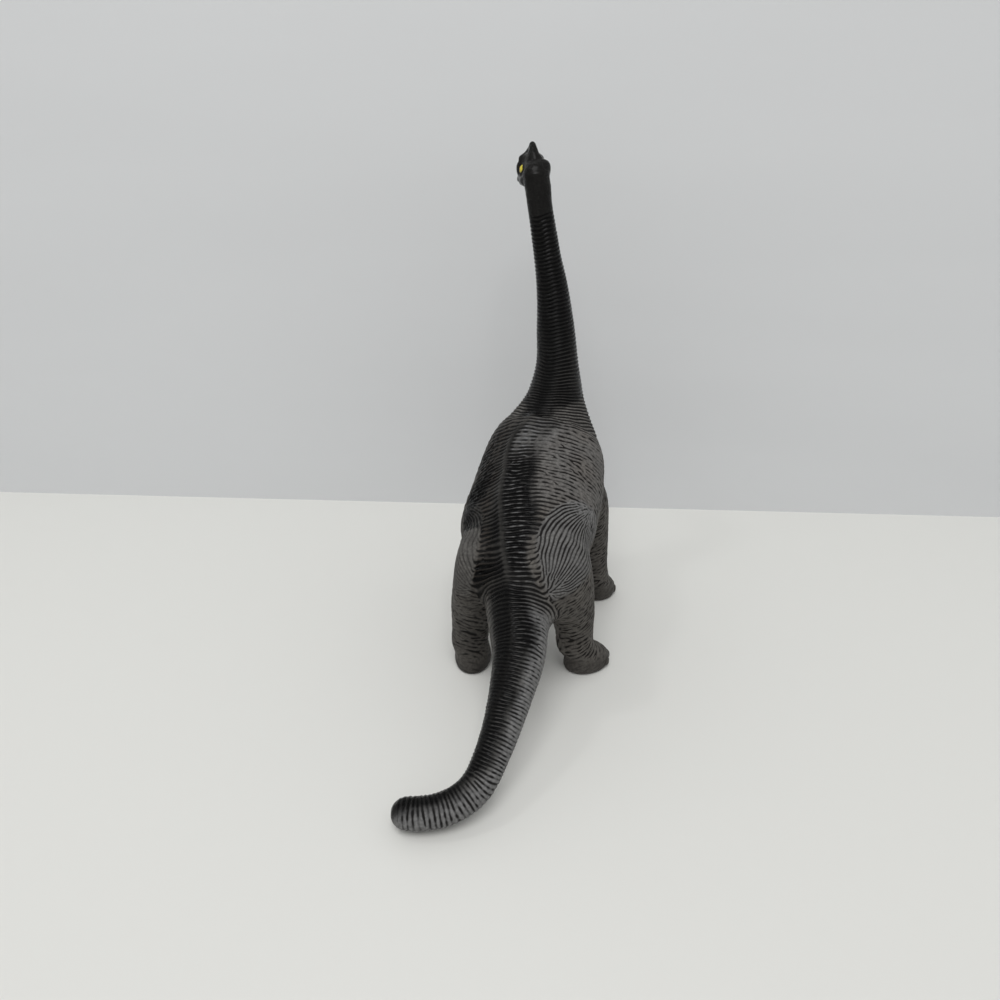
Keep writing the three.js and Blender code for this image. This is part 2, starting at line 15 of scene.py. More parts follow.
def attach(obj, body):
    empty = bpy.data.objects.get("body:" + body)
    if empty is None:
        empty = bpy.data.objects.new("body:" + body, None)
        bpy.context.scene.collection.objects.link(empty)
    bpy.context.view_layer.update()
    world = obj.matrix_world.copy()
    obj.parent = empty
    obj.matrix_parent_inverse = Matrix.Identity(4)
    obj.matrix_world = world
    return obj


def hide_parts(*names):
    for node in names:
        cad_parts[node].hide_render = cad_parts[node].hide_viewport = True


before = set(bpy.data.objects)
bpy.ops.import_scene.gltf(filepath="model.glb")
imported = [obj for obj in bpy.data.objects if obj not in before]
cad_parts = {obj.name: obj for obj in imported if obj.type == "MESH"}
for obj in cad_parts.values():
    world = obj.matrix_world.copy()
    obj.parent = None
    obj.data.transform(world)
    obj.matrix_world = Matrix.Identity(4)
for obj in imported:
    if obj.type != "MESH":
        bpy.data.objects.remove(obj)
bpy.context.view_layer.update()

MM = 0.001

# The camera, over the floor behind the figure
CAMERA_PLACE = (39.5, -310.7, 252.0)
CAMERA_TILT = 27.4
CAMERA_TURN = 10.0
CAMERA_LENS = 27.0
SENSOR_WIDTH = 36.0

# The wall at the back of the floor, as a place on its foot and its turn
WALL_PLACE = (-43.7, 161.1)
WALL_TURN = 6.9
WALL_HEIGHT = 450.0
WALL_WIDTH = 3000.0

TRUNK_NODES = ("tail", "torso_left_shell", "torso_right_shell", "neck", "head")
LEG_NODES = ("foreleg_left", "foreleg_right", "hindleg_left", "hindleg_right")
SKIN_NODES = TRUNK_NODES + LEG_NODES

# One skin over the solids: how far they are grown to meet, how deep it lies in them at most, and the grain of
# the first mesh
SEAM_FILL = 0.17
DEEPEST = 3.0
GRAIN = 0.82
MERGE = 0.001

# Where the hind quarters end on the way forward, and the left side on the way to the right
HIND_END = 22
LEFT_END = -3

# The spine, from the tail's tip to the skull: place, how far the back leans to the left in degrees, and
# whether the back points up (1) or backwards (0)
SPINE = (
    (-32.3, -115.6, 7.5, 50, 1),
    (-25.6, -114.9, 7.9, 50, 1),
    (-15.1, -111.0, 9.6, 48, 1),
    (-6.7, -104.0, 13.5, 45, 1),
    (-2.9, -95.3, 19.6, 42, 1),
    (0.3, -83.7, 27.7, 38, 1),
    (2.2, -70.4, 35.8, 22, 1),
    (3.1, -56.4, 43.8, 10, 1),
    (0.6, -42.4, 50.0, 8, 1),
    (0.3, -28.4, 56.0, 10, 1),
    (-0.8, -13.4, 62.0, 15, 1),
    (-2.6, 8.6, 68.9, 22, 1),
    (-2.2, 31.6, 77.5, 25, 1),
    (-0.2, 57.6, 93.0, 18, 0),
    (0.7, 64.3, 99.0, 15, 0),
    (2.0, 74.6, 115.0, 10, 0),
    (1.7, 80.6, 132.6, 8, 0),
    (-0.2, 84.5, 150.2, 8, 0),
    (-2.7, 87.0, 168.9, 8, 0),
    (-6.1, 88.5, 186.0, 8, 0),
    (-9.5, 89.6, 203.0, 8, 0),
    (-13.9, 92.6, 224.0, 0, 0),
)
TAIL_ROOT_ROW = 8
NECK_ROOT_ROW = 13
NECK_TOP_ROW = 20
SPINE_STEPS = 12

# How many points are set against the spine at once
NEAREST_CHUNK = 50000

# The back line on the skin, from the tail to the neck
RIDGE = (
    (-11.1, -101.7, 18.6),
    (-7.5, -99.1, 23.6),
    (-4.8, -92.0, 29.9),
    (-3.7, -84.3, 35.7),
    (-2.1, -79.6, 40.2),
    (-0.7, -73.3, 45.6),
    (0.2, -58.6, 56.6),
    (-3.9, -44.6, 64.8),
    (-9.2, -26.9, 77.0),
    (-13.0, -10.4, 85.1),
    (-15.8, 8.3, 93.4),
    (-15.6, 15.4, 97.0),
    (-14.9, 32.0, 106.0),
    (-7.0, 43.7, 112.0),
    (-3.3, 57.5, 119.3),
    (-1.2, 64.1, 126.4),
    (-1.0, 71.9, 144.5),
)

# How far apart the wrinkles are at places along the spine, the step between these places that is counted in,
# and how far apart they are on the legs
PITCHES = (
    (-10, 1.9), (15, 1.9), (40, 1.55), (70, 1.5), (105, 1.75), (130, 2.35),
    (200, 2.5), (238, 2.0), (400, 1.9),
)
PITCH_STEP = 0.5
LEG_PITCH = 1.85

# Each foot: the middle of its sole, and how far it turns out to the right in degrees. The nails have their
# turn from the foot's middle line in degrees, and lie between two heights.
FEET = (
    (-27.3, -11.4, -8),
    (30.1, -4.0, 55),
    (-32.6, 66.1, -8),
    (32.5, 60.9, 40),
)
NAIL_TURNS = (-62, -24, 14, 52)
NAIL_HEIGHTS = (1.5, 5.5)
NAIL_REACH = 2.3
NAIL_TOP_REACH = 0.55 * NAIL_REACH
NAIL_LIFT = 0.75
NAIL_STRETCH = (1, 1, 0.8)
FOOT_REACH = 17

# Each thigh: the middle and the reach of its wrinkled patch, where the wrinkles spring from in the crotch,
# where they run together on the flank, the way their arcs bulge, and the side from which the patch looks flat
THIGHS = (
    ((27, -16, 66), (26, 29, 33),
     (13.0, -40.6, 66.0), (30.5, 6.5, 84.0), (-0.83, 0.0, 0.57), (0.5, -0.7, 0.5)),
    ((-34, -12, 62), (15, 30, 32),
     (-19.0, -34.0, 56.0), (-36.0, 9.0, 78.0), (0.8, 0.0, 0.6), (-0.7, -0.6, 0.4)),
)

# Muscles and hollows that stand out from the plain form: place, reach and lift
MUSCLES = (
    ((27, 38, 98), 13, 1.6),
    ((-36, 12, 73), 15, 2.0),
    ((-35, -14, 62), 15, 0.8),
    ((-35, 0, 79), 9, 1.6),
    ((-39, 14, 52), 9, 1.2),
    ((-37, -2, 72), 8, 0.7),
    ((-33, -11, 73), 6, 2.4),
    ((-40, -14, 62), 10, -1.2),
    ((25, -20, 77), 13, 1.0),
    ((31, -18, 55), 9, 0.5),
    ((-13, 40, 106), 9, 0.6),
    ((15, 52, 108), 10, -0.8),
    ((12, 8, 95), 12, -0.5),
    ((-26, 20, 92), 12, -0.5),
    ((-8.5, 97, 228), 4.5, 3.2),
    ((-7.5, 94, 219), 6, 1.0),
)

# The top of the left thigh, which is smoothed into the flank
THIGH_TOP = (-37, -10, 71)
THIGH_TOP_REACH = 13

# Folds, as the points that each runs through, its width and its lift
FOLD_STEPS = 4
FOLDS = (
    (((-34, 8, 84), (-27, -14, 83), (-23, -29, 77), (-20, -35, 66), (-19, -34, 52)), 2.4, -1.1),
    (((24, 16, 93), (27, 7, 84), (29, 3, 74)), 2.0, -0.9),
    (((7.7, -13, 86.7), (9.3, -25, 83.3), (11.6, -35, 76.8), (13, -41, 67.8)), 2.4, -0.7),
)

# The head's own frame, its muscles and its folds, which are the same on both sides
HEAD_PLACE = (-13.9, 92.6, 224.0)
HEAD_TURN = 18.0
HEAD_NOD = 5.0
HEAD_MUSCLES = (
    ((6.6, 12.0, 4.6), 3.6, 2.3),
    ((5.0, 11.0, 7.6), 2.8, 1.7),
    ((6.8, 3.6, 2.8), 2.6, -1.7),
    ((6.6, 5.0, -4.2), 3.2, 0.4),
    ((6.4, 6.0, -7.0), 2.6, 0.9),
    ((2.8, 8.0, 11.4), 2.4, -1.6),
    ((2.2, 4.6, 10.0), 2.4, -0.7),
    ((0.0, 7.4, 15.1), 1.3, 0.3),
    ((3.6, 22.0, 2.6), 2.4, 0.5),
)
HEAD_FOLDS = (
    (((5.8, 11, -1.8), (5.6, 16, -2.6), (5.3, 22, -3.4), (4.4, 27, -3.8), (2, 30, -3.6), (0, 30.8, -3.5)),
     0.7, -0.9),
    (((2.4, 13.5, 5.6), (2.2, 15.5, 4.6)), 0.7, -0.6),
    (((6.4, 3.0, 0.0), (7.0, 7.0, -0.9), (6.4, 11.0, -0.8)), 0.8, -0.7),
)

# The eyes, in the head's frame, for the left one, with the pupil and the cornea as angles from its middle
EYE_PLACE = (-3.6, 8.2, 2.4)
EYE_RADIUS = 2.9
EYE_BULGE = 0.22
EYE_FORWARD = 16.0
EYE_SEGMENTS = 48
EYE_RINGS = 32
PUPIL_ANGLE = 26.0
CORNEA_ANGLE = PUPIL_ANGLE + 12
RIM_ANGLES = (PUPIL_ANGLE + 5, PUPIL_ANGLE + 14)
PUPIL_BLUR = 1.5

# The ridge along the back line: its height on the tail and the neck and what it gains on the body, where it
# rises and falls between them, where it starts and stops, and its width to the right and to the left
RIDGE_HEIGHT = 0.2
RIDGE_GAIN = 0.8
RIDGE_RISE = (80, 125)
RIDGE_FALL = (245, 205)
RIDGE_START = (10, 40)
RIDGE_STOP = (300, 240)
RIDGE_RIGHT_WIDTH = 5.0
RIDGE_LEFT_WIDTH = 2.6

# The left thigh's top lies flush with the flank: where, to the left and upwards, and how far it moves
FLUSH_LEFT = (-30, -22)
FLUSH_UP = (52, 64)
FLUSH_SHARE = 0.85

# Legs and trunk melt into each other: how near to the legs and to the trunk, over what height, and how far
# along the spine round the neck's root and below the skull
MELT_LEG = (11, 4)
MELT_TRUNK = (8, 3.5)
HIND_MELT_HEIGHT = 47
FORE_MELT_HEIGHT = 52
MELT_HEIGHT_BLUR = 6
NECK_MELT_REACH = 14
NECK_MELT_SHARE = 0.5
NECK_MELT_CLEAR = (1, 0.3)
SKULL_MELT_REACH = 10
SKULL_MELT_SHARE = 0.07
THIGH_TOP_SHARE = 0.9
MELT_BLUR_PASSES = 10
MELT_PASSES = 220
MELT_PASS_SHARE = 0.6

# The whole skin is smoothed, but the skull and the soles only a little
SKULL_BLUR = 4
SOLE_HEIGHTS = (3.0, 0.5)
KEPT_SHARE = 0.85
SMOOTH_PASSES = 50
LEG_HEIGHT_PASSES = 12


def head_points(points):
    """Points of the head's own frame, in the figure's."""
    turn, nod = math.radians(HEAD_TURN), math.radians(-HEAD_NOD)
    x, y, z = np.array(points, float).reshape(-1, 3).T
    ahead = y * math.cos(nod) - z * math.sin(nod)
    height = y * math.sin(nod) + z * math.cos(nod)
    return np.array(HEAD_PLACE) + np.stack([
        x * math.cos(turn) - ahead * math.sin(turn),
        x * math.sin(turn) + ahead * math.cos(turn),
        height], axis=1)


def only(piece):
    """Selects one object alone and makes it the active one."""
    bpy.ops.object.select_all(action="DESELECT")
    piece.select_set(True)
    bpy.context.view_layer.objects.active = piece


def apply_modifier(piece, kind, **settings):
    only(piece)
    bpy.ops.object.modifier_add(type=kind)
    modifier = piece.modifiers[-1]
    for name, value in settings.items():
        setattr(modifier, name, value)
    bpy.ops.object.modifier_apply(modifier=modifier.name)


def mesh_points(mesh):
    flat = np.empty(len(mesh.vertices) * 3)
    mesh.vertices.foreach_get("co", flat)
    return flat.reshape(-1, 3) / MM


def set_points(mesh, points):
    mesh.vertices.foreach_set("co", (points * MM).ravel())
    mesh.update()


def mesh_edges(mesh):
    flat = np.empty(len(mesh.edges) * 2, np.int32)
    mesh.edges.foreach_get("vertices", flat)
    return flat.reshape(-1, 2)


def mesh_triangles(mesh):
    """The mesh's faces, all of four corners, each as two triangles."""
    corners = np.empty(len(mesh.loops), np.int32)
    mesh.loops.foreach_get("vertex_index", corners)
    quads = corners.reshape(-1, 4)
    return np.concatenate([quads[:, [0, 1, 2]], quads[:, [0, 2, 3]]])


TINY = 1e-9


def unit(vectors):
    length = np.linalg.norm(vectors, axis=-1, keepdims=True)
    return vectors / np.maximum(length, TINY)


def smooth_step(low, high, value):
    share = np.clip((value - low) / (high - low), 0, 1)
    return share * share * (3 - 2 * share)


def hump(middle, reach, value):
    """1 at the middle, down to 0 at the reach on both sides."""
    return smooth_step(reach, 0, np.abs(value - middle))


def spread(edges, values, passes, share=0.5):
    """Values moved towards the mean of their neighbours, so many times over."""
    first, second = edges.T
    total_points = len(values)
    count = np.bincount(edges.ravel(), minlength=total_points).astype(float)
    columns = values.astype(float).reshape(total_points, -1).copy()
    for _ in range(passes):
        for column in range(columns.shape[1]):
            now = columns[:, column]
            total = (np.bincount(first, now[second], total_points)
                     + np.bincount(second, now[first], total_points))
            columns[:, column] = now + share * (total / count - now)
    return columns.reshape(values.shape)


def smoothed(points, edges, passes, weight):
    """Points smoothed without shrinking: each pass in is followed by a pass out."""
    inward, outward = 0.6, -0.63
    for _ in range(passes):
        for share in (inward, outward):
            points = points + (spread(edges, points, 1, share) - points) * weight[:, None]
    return points


def point_normals(points, triangles):
    a, b, c = (points[triangles[:, corner]] for corner in range(3))
    flat = np.cross(b - a, c - a)
    summed = np.zeros_like(points)
    for corner in range(3):
        for axis in range(3):
            summed[:, axis] += np.bincount(triangles[:, corner], flat[:, axis], len(points))
    return unit(summed)


# Soft noise is a sum of waves: their rates, as shares of the plain one, and how high the sum rises
RATE_SHARES = (0.5, 1.3)
NOISE_HEIGHT = 1.6


def soft_noise(points, size, seed, waves=16):
    """Smooth noise of about -1 to 1, with hills about so many millimetres across."""
    random = np.random.RandomState(seed)
    total = np.zeros(len(points))
    for _ in range(waves):
        direction = unit(random.normal(size=3))
        rate = math.pi / size * random.uniform(*RATE_SHARES)
        total += np.cos(points @ (direction * rate) + random.uniform(0, 2 * math.pi))
    return total * math.sqrt(2 / waves) / NOISE_HEIGHT


def curve_through(rows, steps):
    """Rows on a smooth curve through the given rows, so many steps from each to the next."""
    rows = np.array(rows, float)
    padded = np.vstack([2 * rows[0] - rows[1], rows, 2 * rows[-1] - rows[-2]])
    share = (np.arange(steps) / steps)[:, None]
    stretches = []
    for start in range(len(rows) - 1):
        before, here, there, after = padded[start:start + 4]
        stretches.append(0.5 * (
            2 * here
            + (there - before) * share
            + (2 * before - 5 * here + 4 * there - after) * share ** 2
            + (3 * here - before - 3 * there + after) * share ** 3))
    return np.vstack(stretches + [rows[-1:]])


class Spine:
    """The trunk's middle line, with the way to the right and to the back at each place."""

    def __init__(self):
        rows = curve_through(SPINE, SPINE_STEPS)
        self.centres = rows[:, :3]
        self.tangents = unit(np.gradient(self.centres, axis=0))
        gaps = np.linalg.norm(np.diff(self.centres, axis=0), axis=1)
        self.lengths = np.concatenate([[0], np.cumsum(gaps)])
        lean = np.radians(rows[:, 3])[:, None]
        lying = rows[:, 4]
        top = np.stack([np.zeros(len(rows)), lying - 1, lying], axis=1)
        top -= (top * self.tangents).sum(1, keepdims=True) * self.tangents
        top = unit(top)
        across = np.cross(self.tangents, top)
        self.backs = top * np.cos(lean) - across * np.sin(lean)
        self.rights = np.cross(self.tangents, self.backs)

    def at_row(self, row):
        return self.lengths[row * SPINE_STEPS]

    def blended(self, table, length):
        return np.stack([np.interp(length, self.lengths, table[:, axis]) for axis in range(3)], axis=1)

    def place(self, points):
        """Length along the spine of each point, its offset to the right and to the back, and the tangent."""
        nearest = np.empty(len(points), int)
        square = (self.centres ** 2).sum(1)
        for start in range(0, len(points), NEAREST_CHUNK):
            chunk = points[start:start + NEAREST_CHUNK]
            nearest[start:start + NEAREST_CHUNK] = (square - 2 * chunk @ self.centres.T).argmin(1)
        past = ((points - self.centres[nearest]) * self.tangents[nearest]).sum(1)
        length = self.lengths[nearest] + past
        offset = points - self.blended(self.centres, length)
        right = (offset * self.blended(self.rights, length)).sum(1)
        back = (offset * self.blended(self.backs, length)).sum(1)
        return length, right, back, unit(self.blended(self.tangents, length))


spine = Spine()
TAIL_SEAM = spine.at_row(TAIL_ROOT_ROW)
NECK_SEAM = spine.at_row(NECK_ROOT_ROW)
HEAD_SEAM = spine.at_row(NECK_TOP_ROW)


def ridge_side(length, right, back):
    """Distance over the skin from the back line, positive on the right."""
    ridge_length, ridge_right, ridge_back, _ = spine.place(np.array(RIDGE))
    order = np.argsort(ridge_length)
    ridge_angle = np.interp(length, ridge_length[order], np.arctan2(ridge_right, ridge_back)[order])
    turned = np.angle(np.exp(1j * (np.arctan2(right, back) - ridge_angle)))
    return turned * np.hypot(right, back)


# The one body under the skin

def node_copy(name):
    """A merged copy of a solid, with its faces outwards."""
    piece = bpy.data.objects.new("copy_of_" + name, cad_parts[name].data.copy())
    bpy.context.scene.collection.objects.link(piece)
    only(piece)
    bpy.ops.object.mode_set(mode="EDIT")
    bpy.ops.mesh.select_all(action="SELECT")
    bpy.ops.mesh.remove_doubles(threshold=MERGE * MM)
    bpy.ops.mesh.normals_make_consistent(inside=False)
    bpy.ops.object.mode_set(mode="OBJECT")
    return piece


def joined(pieces, name):
    bpy.ops.object.select_all(action="DESELECT")
    for piece in pieces:
        piece.select_set(True)
    bpy.context.view_layer.objects.active = pieces[0]
    bpy.ops.object.join()
    pieces[0].name = name
    return pieces[0]


def outer_shell(piece):
    """Keeps only the outermost of a piece's loose bodies."""
    only(piece)
    bpy.ops.object.mode_set(mode="EDIT")
    bpy.ops.mesh.select_all(action="SELECT")
    bpy.ops.mesh.separate(type="LOOSE")
    bpy.ops.object.mode_set(mode="OBJECT")
    bodies = list(bpy.context.selected_objects)
    outer = max(bodies, key=lambda body: body.dimensions.length)
    for body in bodies:
        if body != outer:
            bpy.data.objects.remove(body)
    return outer


def grown_body():
    copies = [node_copy(name) for name in SKIN_NODES]
    for piece in copies:
        apply_modifier(piece, "DISPLACE", strength=SEAM_FILL * MM, mid_level=0)
    body = joined(copies, "body")
    apply_modifier(body, "REMESH", mode="VOXEL", voxel_size=GRAIN * MM)
    return outer_shell(body)


def node_tree(names):
    """A search tree over some of the solids."""
    points, triangles = [], []
    for name in names:
        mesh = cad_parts[name].data
        mesh.calc_loop_triangles()
        offset = len(points)
        points += [Vector(vertex.co) / MM for vertex in mesh.vertices]
        triangles += [tuple(offset + corner for corner in face.vertices) for face in mesh.loop_triangles]
    return BVHTree.FromPolygons(points, triangles)


def height_over(points, names):
    """How far each point lies outside some of the solids, and the nearest place on them."""
    tree = node_tree(names)
    heights = np.empty(len(points))
    places = np.empty_like(points)
    for index, point in enumerate(points):
        place, normal, _, distance = tree.find_nearest(Vector(point))
        outside = (Vector(point) - place).dot(normal) > 0 or distance > DEEPEST
        heights[index] = distance if outside else -distance
        places[index] = place
    return heights, places


def lifted(points, triangles, place, reach, lift):
    away = ((points - np.array(place)) ** 2).sum(1) / reach ** 2
    return points + point_normals(points, triangles) * (lift * np.exp(-away))[:, None]


def distance_to_line(points, corners):
    """Distance of each point to a line through corners."""
    least = np.full(len(points), np.inf)
    for start, end in zip(corners[:-1], corners[1:]):
        along = end - start
        share = np.clip((points - start) @ along / (along @ along), 0, 1)
        least = np.minimum(least, np.linalg.norm(points - start - share[:, None] * along, axis=1))
    return least


def folded(points, triangles, corners, width, lift):
    away = distance_to_line(points, curve_through(corners, FOLD_STEPS))
    return points + point_normals(points, triangles) * (lift * np.exp(-(away / width) ** 2))[:, None]


def ridged(points, triangles):
    """The low ridge along the back line, which dies out on the tail and on the neck."""
    length, right, back, _ = spine.place(points)
    side = ridge_side(length, right, back)
    height = RIDGE_HEIGHT + RIDGE_GAIN * smooth_step(*RIDGE_RISE, length) * smooth_step(*RIDGE_FALL, length)
    height *= smooth_step(*RIDGE_START, length) * smooth_step(*RIDGE_STOP, length)
    width = np.where(side > 0, RIDGE_RIGHT_WIDTH, RIDGE_LEFT_WIDTH)
    return points + point_normals(points, triangles) * (height * np.exp(-(side / width) ** 2))[:, None]


def nailed(points, triangles):
    """Low nails round the front of each foot."""
    normals = point_normals(points, triangles)
    low, high = NAIL_HEIGHTS
    lift = np.zeros(len(points))
    for x, y, turn in FEET:
        away = points[:, :2] - np.array((x, y))
        on_foot = (points[:, 2] > low) & (points[:, 2] < high) & (np.hypot(*away.T) < FOOT_REACH)
        for nail_turn in NAIL_TURNS:
            heading = math.radians(turn + nail_turn)
            ahead = away @ np.array((math.sin(heading), math.cos(heading)))
            place = points[np.where(on_foot, ahead, -FOOT_REACH).argmax()]
            distance = np.linalg.norm((points - place) * np.array(NAIL_STRETCH), axis=1)
            lift = np.maximum(lift, NAIL_LIFT * smooth_step(NAIL_REACH, NAIL_TOP_REACH, distance))
    return points + normals * lift[:, None], lift / NAIL_LIFT


def sculpted(points, triangles):
    for place, reach, lift in MUSCLES:
        points = lifted(points, triangles, place, reach, lift)
    for corners, width, lift in FOLDS:
        points = folded(points, triangles, corners, width, lift)
    points = ridged(points, triangles)
    for hand in (-1, 1):
        for (x, y, z), reach, lift in HEAD_MUSCLES:
            points = lifted(points, triangles, head_points((hand * x, y, z))[0], reach, lift)
        for corners, width, lift in HEAD_FOLDS:
            placed = head_points([(hand * x, y, z) for x, y, z in corners])
            points = folded(points, triangles, placed, width, lift)
    return points


body = grown_body()
points = mesh_points(body.data)
edges = mesh_edges(body.data)
triangles = mesh_triangles(body.data)
leg_height, trunk_places = height_over(points, TRUNK_NODES)
leg_distance = np.abs(height_over(points, LEG_NODES)[0])
length = spine.place(points)[0]

# The left thigh's top lies flush with the flank
flush = smooth_step(*FLUSH_LEFT, points[:, 0]) * smooth_step(*FLUSH_UP, points[:, 2])
flush *= (points[:, 0] < LEFT_END) & (points[:, 1] < HIND_END) & (leg_height > 0)
points += (trunk_places - points) * (FLUSH_SHARE * flush)[:, None]
leg_height *= 1 - flush

# The thighs and the shoulders melt into the trunk, and the facets go
melt_height = np.where(points[:, 1] < HIND_END, HIND_MELT_HEIGHT, FORE_MELT_HEIGHT)
melt = smooth_step(*MELT_LEG, leg_distance) * smooth_step(*MELT_TRUNK, leg_height)
melt *= smooth_step(melt_height - MELT_HEIGHT_BLUR, melt_height + MELT_HEIGHT_BLUR, points[:, 2])
neck_melt = hump(NECK_SEAM, NECK_MELT_REACH, length) * smooth_step(*NECK_MELT_CLEAR, leg_height)
melt = np.maximum(melt, NECK_MELT_SHARE * neck_melt)
melt = np.maximum(melt, SKULL_MELT_SHARE * smooth_step(HEAD_SEAM, HEAD_SEAM - SKULL_MELT_REACH, length))
thigh_top = np.linalg.norm(points - np.array(THIGH_TOP), axis=1)
melt = np.maximum(melt, THIGH_TOP_SHARE * smooth_step(THIGH_TOP_REACH, THIGH_TOP_REACH / 2, thigh_top))
melt = spread(edges, melt, MELT_BLUR_PASSES)
for _ in range(MELT_PASSES):
    points += (spread(edges, points, 1, MELT_PASS_SHARE) - points) * melt[:, None]
skull_share = smooth_step(HEAD_SEAM - SKULL_BLUR, HEAD_SEAM + SKULL_BLUR, length)
sole_share = smooth_step(*SOLE_HEIGHTS, points[:, 2])
points = smoothed(points, edges, SMOOTH_PASSES, 1 - KEPT_SHARE * np.maximum(skull_share, sole_share))
points[:, 2] = np.maximum(points[:, 2], 0)
leg_height = spread(edges, leg_height, LEG_HEIGHT_PASSES)
points = sculpted(points, triangles)
points, nail = nailed(points, triangles)
points[:, 2] = np.maximum(points[:, 2], 0)
set_points(body.data, points)
for layer_name, values in (("leg_height", leg_height), ("nail", nail)):
    layer = body.data.attributes.new(layer_name, "FLOAT", "POINT")
    layer.data.foreach_set("value", values.astype(np.float32))
apply_modifier(body, "SUBSURF", levels=1, render_levels=1)


def layer_values(mesh, name):
    values = np.empty(len(mesh.vertices), np.float32)
    mesh.attributes[name].data.foreach_get("value", values)
    return values


points = mesh_points(body.data)
leg_height = layer_values(body.data, "leg_height")
nail = layer_values(body.data, "nail")
triangles = mesh_triangles(body.data)
edges = mesh_edges(body.data)
bpy.data.objects.remove(body)
normals = point_normals(points, triangles)


# Wrinkles

# Where a leg starts, as its height over the trunk
LEG_START = (0.5, 2.2)

# A thigh's patch: how sharp its edge is, how steeply its lower end rises from the crotch and how far below
# the crotch that starts, how sharp that end is, and how far the patch keeps from the figure's middle
PATCH_EDGE = (1.06, 0.94)
PATCH_SLOPE = 0.4
PATCH_DROP = 4
PATCH_END = (-3, 2)
PATCH_INNER_EDGE = (0, 3)

# How softly the arcs of a thigh run together, and the least angle, in radians, that a point sees their chord
# under
GATHER_SOFTNESS = 2
LEAST_SIGHT = 0.2

# How far apart the arcs lie, how much closer where they gather, within what reach, and how far apart they are
# in the first guess
ARC_PITCH = 1.9
ARC_GATHERED = 0.45
ARC_GATHER_REACH = (18, 4)
ARC_START_PITCH = 1.8

# The back, the tail and the neck along the spine: the neck starts a little before its seam
BACK_START = (95, 125)
BACK_STOP = (222, 200)
TAIL_STOP = (112, 98)
NECK_EARLY = 12
NECK_LATE = 10

# The right side, the shoulder, the flank and the hip, as distances from the back line, and where the shoulder
# and the hip lie along the spine
RIGHT_SIDE = (-1, 1)
SHOULDER_SIDE = (13, 22)
SHOULDER_START = (140, 160)
FLANK_SIDE = (-2, -8)
HIP_SIDE = (9, 16)
HIP_MIDDLE = 122
HIP_REACH = 34

# How the wrinkles slant, in degrees, how fast the slant comes in from the back line, and how it wanders
FLANK_SLANT = -20
SHOULDER_SLANT = 17
HIP_SLANT = 22
NECK_SLANT = 12
FLANK_SLANT_REACH = 4
NECK_SLANT_REACH = 2
SLANT_WANDER = 4
LOOSE_WANDER = 7
SLANT_PATCH = 8
LEFT_LEG_TILT = -14
RIGHT_LEG_TILT = 36
LEG_WANDER = 9
LEG_PATCH = 9

# How far the neck's wrinkles rise outwards, how the first guess of all wrinkles wanders and how messy it is,
# and how the passes after it even them out
NECK_RISE = 0.2
PITCH_WANDER = 0.05
PITCH_PATCH = 12
SHOULDER_CLOSER = 0.2
START_WANDER = 1.3
START_PATCH = 6
MESS = 0.7
LOOSE_MESS = 0.5
LEG_MESS = 0.6
TAIL_MESS = 0.9
MESS_PASSES = 6
MESS_SEED = 11
RIB_PASSES = 55
RIB_KEPT_SHARE = 0.4
RIB_NEW_SHARE = 0.6
LEAST_SUM = 1e-6

length, right, back, tangent = spine.place(points)
side = ridge_side(length, right, back)
leg_share = smooth_step(*LEG_START, leg_height)
is_left = points[:, 0] < LEFT_END


def thigh_share(middle, reach, crotch):
    """The patch of a thigh, which ends over a line that rises outwards from the crotch."""
    away = np.sqrt((((points - np.array(middle)) / np.array(reach)) ** 2).sum(1))
    outwards = (points[:, 0] - crotch[0]) * math.copysign(1, middle[0])
    over = points[:, 2] - crotch[2] - PATCH_SLOPE * outwards + PATCH_DROP
    outside = smooth_step(*PATCH_INNER_EDGE, points[:, 0] * math.copysign(1, middle[0]))
    return smooth_step(*PATCH_EDGE, away) * outside * smooth_step(*PATCH_END, over)


def line_angle(vectors, first, second):
    """Twice the angle of a line in the plane of first and second, as a complex number of length 1."""
    across = (vectors * first).sum(1) + 1j * (vectors * second).sum(1)
    return (across / np.maximum(np.abs(across), TINY)) ** 2


def flattened(places, side):
    """Places as they look from one side."""
    side = unit(np.array(side))
    return places - (places @ side)[..., None] * side


def arc_lines(crotch, flank, side):
    """The way of the arcs that spring from the crotch and run together on the flank."""
    flat = flattened(points, side)
    from_crotch = flat - flattened(np.array(crotch), side)
    to_flank = flattened(np.array(flank), side) - flat
    near = (from_crotch ** 2).sum(1, keepdims=True) + GATHER_SOFTNESS
    far = (to_flank ** 2).sum(1, keepdims=True) + GATHER_SOFTNESS
    return from_crotch / near + to_flank / far


def arc_height(crotch, flank, bulge, side):
    """How high over their chord the arc through each point rises."""
    flat = flattened(points, side)
    crotch, flank = flattened(np.array(crotch), side), flattened(np.array(flank), side)
    to_crotch, to_flank = unit(crotch - flat), unit(flank - flat)
    seen = np.arccos(np.clip((to_crotch * to_flank).sum(1), -1, 1))
    chord = np.linalg.norm(flank - crotch)
    height = chord / 2 / np.tan(np.maximum(seen, LEAST_SIGHT) / 2)
    above = (flat - (crotch + flank) / 2) @ np.array(bulge)
    return np.where(above > 0, height, -height)


def rib_count(length):
    """How many wrinkles lie between the tail's tip and each length along the spine."""
    marks, pitches = np.array(PITCHES).T
    fine = np.arange(marks[0], marks[-1], PITCH_STEP)
    return np.interp(length, fine, np.cumsum(PITCH_STEP / np.interp(fine, marks, pitches)))


def rises(values, across):
    """Whether values rise or fall in the way that across points."""
    first, second = edges.T
    step = (points[second] - points[first]) * (values[second] - values[first])[:, None]
    total = np.zeros(len(points))
    for axis in range(3):
        slope = (np.bincount(first, step[:, axis], len(points))
                 + np.bincount(second, step[:, axis], len(points)))
        total += slope * across[:, axis]
    return total >= 0


